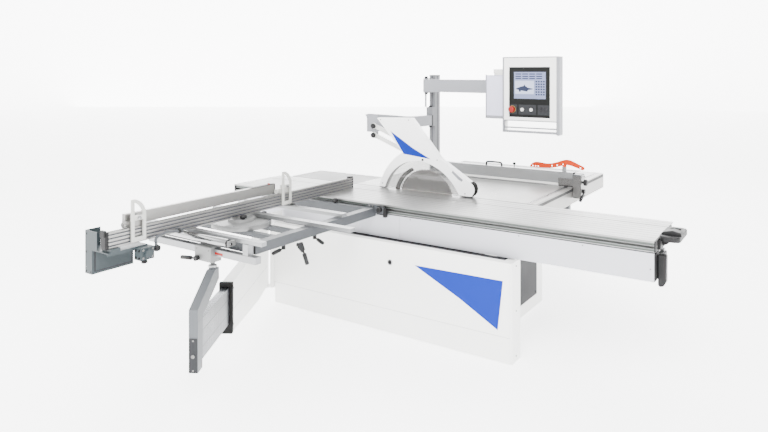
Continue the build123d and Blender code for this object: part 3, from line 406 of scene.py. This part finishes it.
def base_pieces():
    front = corners("front_panel")[0].y
    column, rear = corners("body_covers")[1].xy
    wedge = [(300, 505), (940, 512), (905, 200), (640, 345)]
    plate("front_wedge", "base", blue, wedge, (0, front - 0.1, 0), RIGHT, UP, 0.7, 0.2)
    # Dark strip on top of the front box below the fascia: partly a black lining, partly painted shade in the
    # recess.
    boxes("recess_shade_strip", "base", dark, [((-960, 919), (-684, -566), (618, 621))])
    seam = ((-978, 984), (front + 1, front + 4), (163.4, 164.8))
    boxes("panel_seam_strip", "base", inset, [seam], 0.2)
    turned("lock_escutcheon", "base", chrome, FRONT, [(20, 0), (20, 1.5), (17, 3), (15.5, 3), (15.5, 0.5)],
           [(102, front, 491)])
    screw("column_screws", "base", steel, RIGHT, [(column, -630, z) for z in (40, 320, 600)])
    side = (753.6, 756)
    boxes("side_door", "base", inset, [(side, (-440, 380), (96, 520))], 2)
    rims = [((-470, -444), (70, 546)), ((384, 410), (70, 546)), ((-444, 384), (524, 546)),
            ((-444, 384), (70, 92))]
    boxes("side_door_rim", "base", white, [(side, y, z) for y, z in rims], 1)
    spots = [(side[1], y, z) for y in (-410, 350) for z in (120, 495)]
    screw("side_door_screws", "base", black, RIGHT, spots, 7)
    louvres = [((x, x + 120), (rear - 0.2, rear + 3), (z, z + 5))
               for x in (-560, -400, -240) for z in range(140, 320, 16)]
    boxes("rear_louvres", "base", inset, louvres, 0.8)
    boxes("rear_door", "base", light_grey, [((60, 640), (rear - 0.5, rear + 2), (80, 720))], 1.5)
    spots = [(x, rear, z) for x in (-720, 30, 670, 720) for z in (40, 400, 735)]
    screw("rear_screws", "base", steel, REAR, spots)
    turned("levelling_nuts", "base", steel, UP, [(22, 0), (24, 2), (24, 14), (22, 16)],
           [(x, y, 22) for x in (-650, 0, 650) for y in (-630, 460)], 6)
    spots = [(-1000, y, z) for y in (-690, -640) for z in (160, 400, 660)]
    screw("hinge_bolts", "base", steel, LEFT, spots, 8, 6)
    turned("hinge_pin_caps", "base", black, UP, [(20, 0), (20, 8), (16, 12), (2, 13)], [(*ARM_HINGE, 704)])


def beam_pieces():
    beam, beam_far = corners("guide_beam")
    fascia, fascia_far = corners("beam_fascia")
    left, right = beam.x, beam_far.x
    section = ((beam.y, -255), (beam.z, 735))
    boxes("beam_end_plate", "base", black,
          [((right, right + 8), *section), ((right, right + 6), (fascia.y, -500), (634, 786))])
    boxes("beam_far_plate", "base", black,
          [((left - 6, left), *section), ((left - 6, left), (-583, fascia_far.y), (634, 786))])
    spots = [(x, fascia.y, 778) for x in range(-1400, 1800, 400)] + [(1780, fascia.y, 700)]
    screw("fascia_screws", "base", steel, FRONT, spots, 4.5, 1.6)
    tracks = [((left + 5, right - 5), (y, y + 8), (beam_far.z, beam_far.z + 1.2)) for y in (-434, -284)]
    boxes("roller_tracks", "base", chrome, tracks, 0.2)
    grip = [(0, 10), (14, 30), (70, 44), (112, 34), (118, 14), (100, -6), (62, -18), (40, -40),
            (10, -52), (0, -40)]
    plate("handle_grip", "carriage", black, grip, (1806, -468, 862), RIGHT, UP, -70, 7)
    drop = [(0, 0), (46, 0), (44, -150), (30, -176), (8, -182), (0, -170)]
    plate("beam_end_bracket", "base", black, drop, (1808, -530, 772), RIGHT, UP, -48, 6)
    top, top_far = corners("carriage_top")
    run = (top.x, top_far.x)
    boxes("slot_lip", "carriage", anodised_x, [(run, (-584.6, -575.4), (849.3, 851.0))], 0.3)
    ribs = [(run, (-584.6, -577), (z, z + 1.8)) for z in (800.2, 814.5, 833.5)]
    boxes("slot_ribs", "carriage", anodised_x, ribs, 0.3)
    end = corners("carriage_ends")[1].x
    screw("carriage_end_screws", "carriage", steel, RIGHT, [(end, y, 828) for y in (-560, -330, -120)], 5)


# ---------------------------------------------------------------- tables and rip fence
def table_pieces():
    rail, rail_far = corners("rip_guide_rail")
    front, rear, top = rail.y, rail_far.y, rail_far.z
    boxes("table_insert", "base", anodised_x, [((-390, 430), (8, 74), (top - 0.6, top + 0.4))], 0.3)
    spots = [(x, 62, top + 0.2) for x in (-370, -180, 20, 220, 410)]
    screw("insert_screws", "base", steel, UP, spots, 5, 0.8)
    along = (front + 2, rear - 2)
    boxes("rail_slot", "base", black, [((886.5, rail_far.x + 0.4), along, (828, 851))], 0.3)
    boxes("rail_scale", "base", steel, [((826, 850), along, (top, top + 0.7))], 0.2)
    reach = {0: 850, 5: 842}
    ticks = [((826, reach.get(i % 10, 836)), (y, y + 0.9), (top + 0.6, top + 1))
             for i, y in enumerate(range(60, 1740, 10))]
    boxes("rail_ticks", "base", ink, ticks, 0)
    caps = [((rail.x, 884), (rear, rear + 3), (790, top)), ((818, 886), (front - 3, front), (790, top - 2))]
    boxes("rail_end_caps", "base", black, caps)
    wing = corners("extension_tables")[1].x
    seams = [((-580, wing), (820.2, 821.6), (840, top - 1)), ((-701.6, -700.3), (8, 415), (830, top - 1)),
             ((819, 820.5), (8, 1758), (top - 0.4, top + 0.3))]
    boxes("table_seams", "base", inset, seams, 0.1)
    screw("rip_table_bolts", "base", steel, RIGHT, [(wing, y, 825) for y in range(880, 1790, 180)], 6, 1.5)


def rip_pieces():
    profile, profile_far = corners("rip_profile")
    left, right, front = profile.x, profile_far.x, profile.y
    cap = ((right - 4, right + 2), (front + 1, profile_far.y - 1), (profile.z, 980))
    boxes("rip_end_cap", "rip_profile", black, [cap])
    covers = [((left + 4, right), (front - 0.4, front + 1), z) for z in ((889, 899), (949, 959))]
    boxes("rip_slot_covers", "rip_profile", anodised_x, covers, 0.2)
    knob = [(4, 0), (4, 22), (10, 24), (14, 30), (14, 36), (9, 43), (2, 45)]
    turned("rip_post_knob", "rip_profile", black, UP, knob, [(365, 880, 979)])
    strip = ((left + 6, right - 2), (front - 1.2, front), (868, 886))
    boxes("rip_wear_strip", "rip_profile", knob_white, [strip], 0.3)
    handle = bpy.data.curves.new("rip_u_handle", "CURVE")
    bend = [(100, 978), (100, 1000), (108, 1012), (240, 1012), (248, 1000), (248, 978)]
    tube(handle, [(x, 880, z) for x, z in bend], 8)
    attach(linked("rip_u_handle", handle, black), "rip_profile")
    side = corners("rip_block")[1].x
    knob = [(10, 0), (10, 12), (24, 14), (26, 20), (26, 34), (20, 40), (4, 42)]
    turned("rip_clamp_knob", "rip_block", black, RIGHT, knob, [(side, 868, 905)])
    boxes("rip_cursor", "rip_block", black,
          [((775, 894), (829.5, 836), (868, 872)), ((826, 852), (800, 836), (862, 865))])
    spots = [(side, y, z) for y in (845, 920) for z in (790, 945)]
    screw("rip_block_screws", "rip_block", black, RIGHT, spots, 5)
    boxes("rip_block_cover", "rip_block", grey,
          [((893, 958), (828, 936), (962, 968)), ((893, 896), (828, 936), (900, 966))], 1.5)


# ---------------------------------------------------------------- outrigger and crosscut fence
DISC_CENTRE = (-600, -1410, 832)
DISC_TICKS = 190
TUBES = {"right": -120, "left": -1020}
SPINDLE = (-400, -1832)


def outrigger_pieces():
    bm = bmesh.new()
    for degree in range(0, 360, 3):
        long = 16 if degree % 15 == 0 else 9
        tick = bmesh.ops.create_cube(bm, size=1)["verts"]
        bmesh.ops.scale(bm, vec=mm(long, 1.2, 0.6), verts=tick)
        bmesh.ops.translate(bm, vec=mm(DISC_TICKS - long / 2, 0, 0.3), verts=tick)
        turn = Matrix.Translation(mm(*DISC_CENTRE)) @ Matrix.Rotation(radians(degree), 4, "Z")
        bmesh.ops.transform(bm, matrix=turn, verts=tick)
    finished("protractor_ticks", bm, "outrigger", ink, 0)
    knob = [(8, 0), (8, 10), (20, 12), (22, 18), (21, 30), (12, 36), (2, 37)]
    turned("protractor_knobs", "outrigger", black, UP, knob, [(-560, -951, 830), (-435, -620, 830)])
    outer = corners("outrigger_frame")[0].y
    for side, x in TUBES.items():
        plug = ((x - 28, x + 28), (outer - 4, outer), (772, 828))
        boxes(f"tube_plug_{side}", "outrigger", black, [plug], 1.5)
    boxes("clamp_cover", "outrigger", black, [((-12, 12), (-614, -588.5), (772, 836))], 3)
    jaws = [((-62, -6), (-617, -588), z) for z in ((788, 794), (846, 852))]
    boxes("clamp_jaw", "outrigger", black, jaws, 1.5)
    spots = [(x, -598, z) for x in (-140, -110) for z in (800, 840)]
    screw("frame_bolts", "outrigger", steel, FRONT, spots, 6, 4)
    top = corners("outrigger_bars")[1].z
    spots = [(x, y, top) for x in sorted(TUBES.values()) for y in (-1280, -980)]
    screw("bar_bolts", "outrigger", steel, UP, spots, 6, 1.2)
    runs = (((-996, 214), (-1290, -1270)), ((-996, -78), (-990, -970)), ((-1046, -4), (-1822, -1808)))
    ribs = [(x, (y, y + 1.2), (top, top + 0.4)) for x, ys in runs for y in ys]
    boxes("bar_ribs", "outrigger", inset, ribs, 0.1)
    rail = corners("support_rail")[0].y
    boxes("rail_scale_mark", "outrigger", red, [((-365, -300), (rail - 0.6, rail), (742, 756))], 0.1)
    turned("clamp_block_boss", "rail_clamp", steel, DOWN, [(20, 0), (20, 3), (15, 6), (15, 8)],
           [(*SPINDLE, 696)])
    clamp = corners("rail_clamp")[0].y
    screw("clamp_block_screws", "rail_clamp", steel, FRONT, [(-390, clamp, 765), (-495, clamp, 765)], 5)
    turned("roller_ends", "edge_roller", black, RIGHT, [(22, 0), (23.4, 2), (23.4, 10), (20, 12)],
           [(-782, -1875, 834), (-225, -1875, 834)])
    grip = [(5, 0), (5, 30), (11, 34), (12, 84), (9, 98), (3, 100)]
    turned("small_lever_left", "outrigger", black, (0, -1, -0.12), grip, [(-105, -1540, 750)])
    turned("small_lever_right", "outrigger", black, (1, -0.3, -0.2), grip, [(-108, -1250, 752)])
    turned("small_lever_pivots", "outrigger", black, UP, [(12, 0), (12, 26)],
           [(-108, -1540, 743), (-108, -1250, 743)])


def fence_pieces():
    fence, fence_far = corners("fence_profile")
    left, right, outer, inner = fence.x, fence_far.x, fence.y, fence_far.y
    caps = [((left - 2, right + 2), (inner - 2, inner + 5), (fence.z - 1, fence_far.z + 2)),
            ((left - 1, right + 1), (inner - 40, inner), (fence_far.z, fence_far.z + 12))]
    boxes("fence_inner_cap", "crosscut_fence", black, caps, 2)
    bracket = [((left - 4, right + 6), (outer - 22, outer), (fence.z, fence_far.z + 5)),
               ((left, right + 6), (outer - 30, outer - 14), (930, 965))]
    boxes("fence_outer_bracket", "crosscut_fence", black, bracket, 2)
    run = (outer + 2, inner - 2)
    lines = [((right - 0.6, right + 0.4), run, (z, z + 2.5)) for z in (873, 893, 913, 933)]
    boxes("fence_face_lines", "crosscut_fence", ink, lines, 0.1)
    boxes("fence_scale", "crosscut_fence", steel, [((-588, -581), run, (950, 950.6))], 0.1)
    ticks = [((-588, -582 if i % 5 else -581), (y, y + 0.8), (950.5, 950.9))
             for i, y in enumerate(range(-2380, -210, 10))]
    boxes("fence_ticks", "crosscut_fence", ink, ticks, 0)
    strips = [((-652, -620), (-1300, -1080), (1018, 1022)), ((-650.5, -649), (-1300, -1080), (985, 1020))]
    boxes("bar_black_strip", "extension_bar", black, strips, 1)
    turned("bar_button", "extension_bar", red, UP, [(9, 0), (9, 5), (7, 9), (2, 10)], [(-636, -1120, 1021)])
    boxes("bar_end_cap", "extension_bar", black, [((-652, -620), (-1076, -1070), (953, 1022))], 1.5)
    for i in (1, 2):
        stop, stop_far = corners(f"stop_plate_{i}")
        turned(f"stop_{i}_knob", f"stop_{i}", chrome, RIGHT,
               [(11, 0), (11, 3), (8, 4), (8, 10), (5, 11), (2, 11)],
               [(stop_far.x, (stop.y + stop_far.y) / 2, 1000)])
    ball = [(9, -12), (15, -10), (20, -3), (21, 6), (18, 15), (10, 21), (2, 23)]
    turned("handle_ball", "crosscut_fence", black, DOWN, ball, [(-548, -2108, 816)])
    turned("handle_foot", "crosscut_fence", black, REAR, [(12, 0), (14, 3), (14, 14), (11, 17)],
           [(-548, -1962, 877)])
    spots = [(x, -2235, z) for x in (-560, -530) for z in (785, 825)]
    screw("drive_bolts", "crosscut_fence", black, FRONT, spots, 6, 6)
    spots = [(-515, y, z) for y in (-2222, -2162) for z in (785, 828)]
    screw("drive_side_bolts", "crosscut_fence", steel, RIGHT, spots, 6, 4)
    turned("drive_knob", "crosscut_fence", black, DOWN,
           [(7, 0), (7, 8), (16, 10), (17, 22), (10, 26), (2, 27)], [(-545, -2192, 772)])
    end = corners("end_box")[0].y
    spots = [(x, end, z) for x, z in ((-758, 722), (-758, 828), (-758, 925), (-716, 722))]
    screw("box_screws", "crosscut_fence", black, FRONT, spots, 4.5, 1.5)
    boxes("box_cover", "crosscut_fence", inset, [((-705, -703), (-2392, -2158), (722, 836))], 1)
    # The cover face takes the end box's grey, which holds painted shade.
    boxes("box_cover_face", "crosscut_fence", end_box_shade_grey, [((-704, -701.5), (-2384, -2166), (728, 830))], 1)
    turned("hub_knob", "crosscut_fence", black, UP, [(9, 0), (9, 8), (22, 10), (24, 18), (20, 28), (3, 31)],
           [(-540, -1450, 850)])


# ---------------------------------------------------------------- swing arm
ARM_RISE, ARM_RUN = -1087, 645
ARM_TURN = Matrix.Translation(mm(*ARM_HINGE, 0)) @ Matrix.Rotation(atan2(ARM_RISE, ARM_RUN), 4, "Z")
POST_FACE = 1595


def arm_pieces():
    """Boxes here are in the arm's own frame: x runs out along the arm from its hinge, z up."""
    wiper = [((980, 1012), (-42, 42), (163, 228)), ((980, 1012), (-42, 42), (457, 483)),
             ((980, 1012), (-42, -26.5), (220, 470)), ((980, 1012), (26.5, 42), (220, 470))]
    boxes("arm_wiper", "outer_arm", rubber, wiper, 2, ARM_TURN)
    studs = [((950, 962), y, (z, z + 12)) for y in ((33, 38), (-38, -33)) for z in (200, 430)]
    boxes("arm_studs", "outer_arm", steel, studs, 2, ARM_TURN)
    seams = [((40, 970), y, (300, 301.5)) for y in ((-35.6, -34.6), (34.6, 35.6))]
    boxes("arm_seam", "outer_arm", light_grey, seams, 0.1, ARM_TURN)
    plate_span = (POST_FACE - 4.5, POST_FACE)
    boxes("post_plate", "inner_arm", dark, [(plate_span, (-23, 23), (187, 372))], 1.2, ARM_TURN)
    seams = [((1516, 1590), y, (458, 459.5)) for y in ((-25.6, -24.8), (24.8, 25.6))]
    boxes("post_seams", "inner_arm", grey, seams, 0.1, ARM_TURN)
    grooves = [((1001, 1514), y, (z, z + 3)) for z in (296, 386) for y in ((-25.5, -24.6), (24.6, 25.5))]
    boxes("inner_grooves", "inner_arm", grey, grooves, 0.2, ARM_TURN)
    out = ARM_TURN.to_3x3() @ Vector(RIGHT)
    spots = [[c * 1000 for c in ARM_TURN @ mm(POST_FACE, 0, z)] for z in (200, 276, 360)]
    screw("post_bolts", "inner_arm", steel, out, spots[1:2], 10, 5)
    screw("post_small_bolts", "inner_arm", steel, out, spots[::2], 5, 2)
    turned("spindle_nuts", "inner_arm", chrome, UP, [(24, 0), (26, 3), (26, 12), (24, 15)],
           [(*SPINDLE, 660)], 6)
    thread = [(13 + (i % 2) * 0.9, i * 1.5) for i in range(10)]
    turned("spindle_thread", "inner_arm", chrome, UP, thread, [(*SPINDLE, 675)])


# ---------------------------------------------------------------- mast, hood and panel
BOOM_PIN = (-625, 1060)
ARM_PIN = (-612, 1120)


def mast_pieces():
    top = corners("mast")[1].z
    boxes("mast_cap", "base", dark, [((-652, -588), (1168, 1277), (top, top + 6))], 1.5)
    groove = (20, top - 3)
    boxes("mast_grooves", "base", inset,
          [((-590.5, -589.4), (1218, 1226), groove), ((-625, -617), (1169.4, 1170.5), groove)], 0.2)
    turned("boom_pin_cap", "base", black, UP, [(14, 0), (17, 3), (17, 12), (12, 18), (2, 20)],
           [(*BOOM_PIN, 1749)])
    cap = [(14, 0), (17, 3), (17, 10), (12, 14), (2, 15)]
    turned("boom_pin_cap_low", "base", black, DOWN, cap, [(*BOOM_PIN, 1606)])
    turned("arm_pin_caps", "base", black, UP, cap, [(*ARM_PIN, 1464)])
    turned("arm_pin_cap_low", "base", black, DOWN, cap, [(*ARM_PIN, 1280)])
    turned("cable_conduit", "base", light_grey, UP, [(9, 0), (9, 142)], [(-658, 1108, 1464)])
    strip = [(79, 1451.6), (480, 1414.8), (480, 1416.8), (79, 1453.8)]
    plate("arm_top_strip", "base", black, strip, (-630, 0, 0), REAR, UP, 46, 0.3)
    boxes("arm_end_rim", "base", black, [((-573.5, -571), (1085, 1102), (1286, 1388))], 0.5)
    knobs = [(-545, corners("link_lower")[0].y, z) for z in (1278, 1355)]
    turned("link_knobs", "base", black, FRONT,
           [(9, 0), (9, 4), (20, 6), (22, 10), (22, 22), (18, 27), (3, 29)], knobs)
    turned("link_rings", "base", knob_white, FRONT, [(24, -1), (26, 1), (26, 5), (22, 6)], knobs)


def hood_pieces():
    near = corners("hood_shell")[0].y
    wedge = [(-322, 1330), (-196, 1152), (52, 1128), (-110, 1205)]
    plate("hood_wedge", "hood", blue, wedge, (0, near - 0.1, 0), RIGHT, UP, 0.7, 0.2)
    screw("arch_bolt", "hood", black, FRONT, [(-20, near, 1118)], 9, 5)
    slot = [(236, 1040), (292, 992), (322, 978), (334, 992), (300, 1016), (246, 1056)]
    plate("nose_slot", "hood", light_grey, slot, (0, near - 0.4, 0), RIGHT, UP, 0.8, 0.3)
    bumper = [(398, 981), (424, 964), (436, 930), (429, 898), (414, 878), (405, 884), (418, 905),
              (423, 930), (414, 955), (393, 971)]
    inside = (near + 2, 13)
    plate("nose_bumper", "hood", rubber, bumper, (0, inside[1], 0), RIGHT, UP, inside[1] - inside[0], 1.5)
    feet = [(x, inside, (865, 873)) for x in ((303, 402), (-430, -378))]
    boxes("foot_brushes", "hood", black, feet, 1.5)
    edge = [(-455, 1431), (-129, 1442), (135, 1137), (395, 976)]
    for i, ((x0, z0), (x1, z1)) in enumerate(zip(edge, edge[1:])):
        length = hypot(x1 - x0, z1 - z0)
        plate(f"hood_edge_{i}", "hood", shell, [(4, -8), (length - 4, -8), (length - 4, 8), (4, 8)],
              (x0, -12.5, z0), (x1 - x0, 0, z1 - z0), REAR, 1.6, 0.6)
    spots = [(x, near, z) for x, z in ((-420, 1418), (-150, 1425), (110, 1125), (-400, 900), (350, 890))]
    screw("hood_screws", "hood", steel, FRONT, spots, 5, 2)


def panel_pieces():
    near = corners("panel_box")[0].y
    bars = [((281, 296), (816, 904), (1287, 1940)), ((760, 788), (816, 904), (1280, 1940))]
    boxes("panel_side_profiles", "control_panel", light_grey, bars, 6)
    rims = [((816, 830), (1932, 1940)), ((817, 826), (1388, 1396)), ((830, 858), (1287, 1306)),
            ((836, 852), (1324, 1336))]
    boxes("panel_rims", "control_panel", light_grey, [((292, 766), y, z) for y, z in rims], 2)
    glass = ((341.5, 705.5), (near + 3, near + 6.4), (1421.5, 1851.5))
    boxes("panel_glass_face", "control_panel", face, [glass], 1)
    raised = (near + 1.4, near + 3.4)
    boxes("screen_rim", "control_panel", dark, [((381, 674), raised, (1575, 1816))], 1)
    boxes("screen", "control_panel", display, [((388, 668), (near + 0.6, near + 1.8), (1582, 1809))], 0.4)
    view = ((396, 566), (near + 0.2, near + 0.8), (1622, 1735))
    boxes("screen_view", "control_panel", pale_ink, [view], 0.3)
    printed = (near, near + 0.9)
    rows = [((400 + 62 * i, 452 + 62 * i), printed, (z, z + 8))
            for i in range(4) for z in (1788, 1768, 1750)]
    keys = [((580 + 22 * i, 594 + 22 * i), printed, (1612 + 22 * k, 1624 + 22 * k))
            for i in range(4) for k in range(6)]
    boxes("screen_fields", "control_panel", ink, rows + keys, 0.2)
    picture = [(404, 1662), (430, 1656), (434, 1640), (446, 1640), (450, 1652), (506, 1642),
               (514, 1656), (556, 1662), (556, 1668), (512, 1676), (490, 1690), (482, 1704),
               (474, 1690), (446, 1684), (404, 1668)]
    plate("screen_picture", "control_panel", ink, picture, (0, near + 0.1, 0), RIGHT, UP, 0.4, 0.1)
    strips = [(x, (near + 1.5, near + 3.4), (1445, 1530)) for x in ((350, 415), (428, 585), (598, 698))]
    boxes("button_strip", "control_panel", dark, strips, 1)
    block = [((612 + 26 * i, 632 + 26 * i), (near - 3, near + 2), (1470 + 24 * k, 1488 + 24 * k))
             for i in range(3) for k in range(2)]
    boxes("key_block", "control_panel", inset, block, 1.5)
    turned("estop_collar", "control_panel", brass, FRONT, [(31, 0), (31, 1.5), (29, 3), (12, 3)],
           [(371, near + 3, 1488)])
    turned("selector_rings", "control_panel", black, FRONT, [(19, 0), (19, 3), (16.5, 5), (15, 5)],
           [(x, near + 3, 1488) for x in (462, 542)])
    boxes("holder_sleeve", "boom", lilac, [((119, 283), (838, 843), (1424, 1782))], 1)
    bars = [((113, 122), (834, 848), (1400, 1786)), ((113, 285), (834, 848), (1400, 1426)),
            ((113, 285), (845, 850), (1405, 1782))]
    boxes("holder_frame", "boom", light_grey, bars, 1.5)
    boxes("holder_clip", "boom", knob_white,
          [((198, 285), (826, 850), (1782, 1796)), ((190, 285), (832, 850), (1796, 1834))], 3)
    boxes("holder_arms", "boom", light_grey, [((180, 240), (848, 960), (1640, 1700))], 2)


# ---------------------------------------------------------------- studio
VIEW_TURN = radians(33.83)
CAMERA_SPOT = (2.557, -4.431, 1.806)
LENS, LENS_SHIFT = 30.28, -0.187
BACKDROP_AWAY = 29
FLOOR_GLOW, BACKDROP_GLOW, WORLD_LIGHT = 2.4, 6, 2.7
WHITE = (1, 1, 1)
LAMPS_AIM = Vector((0, -0.3, 0.7))
LAMPS = (("key", (2.5, -5.5, 5.5), 4, 900), ("fill", (-5, -5, 4), 5, 300), ("back", (-1, 5, 5), 5, 300))


def lit_plane(name, size, spot, turn, color, rough, bump, glow):
    """A large glowing plane that belongs to the studio and not to the part."""
    bpy.ops.mesh.primitive_plane_add(size=size, location=spot, rotation=turn)
    plane = bpy.context.object
    plane.name = name
    look = material(name, color, rough, grain=(2, 2, 2), vary=0.002, bump=bump)
    glowing(look, WHITE, glow)
    plane.data.materials.append(look)


def lamp(name, spot, size, power):
    """A square light that looks at the middle of the part."""
    light = bpy.data.lights.new(name, "AREA")
    light.energy = power
    light.size = size
    holder = bpy.data.objects.new(name, light)
    holder.location = spot
    holder.rotation_euler = (LAMPS_AIM - Vector(spot)).to_track_quat("-Z", "Y").to_euler()
    bpy.context.scene.collection.objects.link(holder)


def studio():
    away = Vector((-sin(VIEW_TURN), cos(VIEW_TURN), 0))
    facing = away.to_track_quat("Z", "Y").to_euler()
    lit_plane("floor", 60, (0, 0, -0.0005), (0, 0, 0), (0.92, 0.92, 0.92), 0.7, 0.01, FLOOR_GLOW)
    lit_plane("backdrop", 90, away * BACKDROP_AWAY, facing, (0.9, 0.9, 0.9), 0.8, 0.0, BACKDROP_GLOW)
    world = bpy.data.worlds.new("studio")
    bpy.context.scene.world = world
    world.use_nodes = True
    sky = world.node_tree.nodes["Background"].inputs
    sky["Color"].default_value = (*WHITE, 1)
    sky["Strength"].default_value = WORLD_LIGHT
    for name, spot, size, power in LAMPS:
        lamp(name, spot, size, power)
    lens = bpy.data.cameras.new("camera")
    lens.lens = LENS
    lens.shift_y = LENS_SHIFT
    camera = bpy.data.objects.new("camera", lens)
    camera.location = CAMERA_SPOT
    camera.rotation_euler = (radians(90), 0, VIEW_TURN)
    bpy.context.scene.collection.objects.link(camera)
    bpy.context.scene.camera = camera


base_pieces()
beam_pieces()
table_pieces()
rip_pieces()
outrigger_pieces()
fence_pieces()
arm_pieces()
mast_pieces()
hood_pieces()
panel_pieces()
studio()
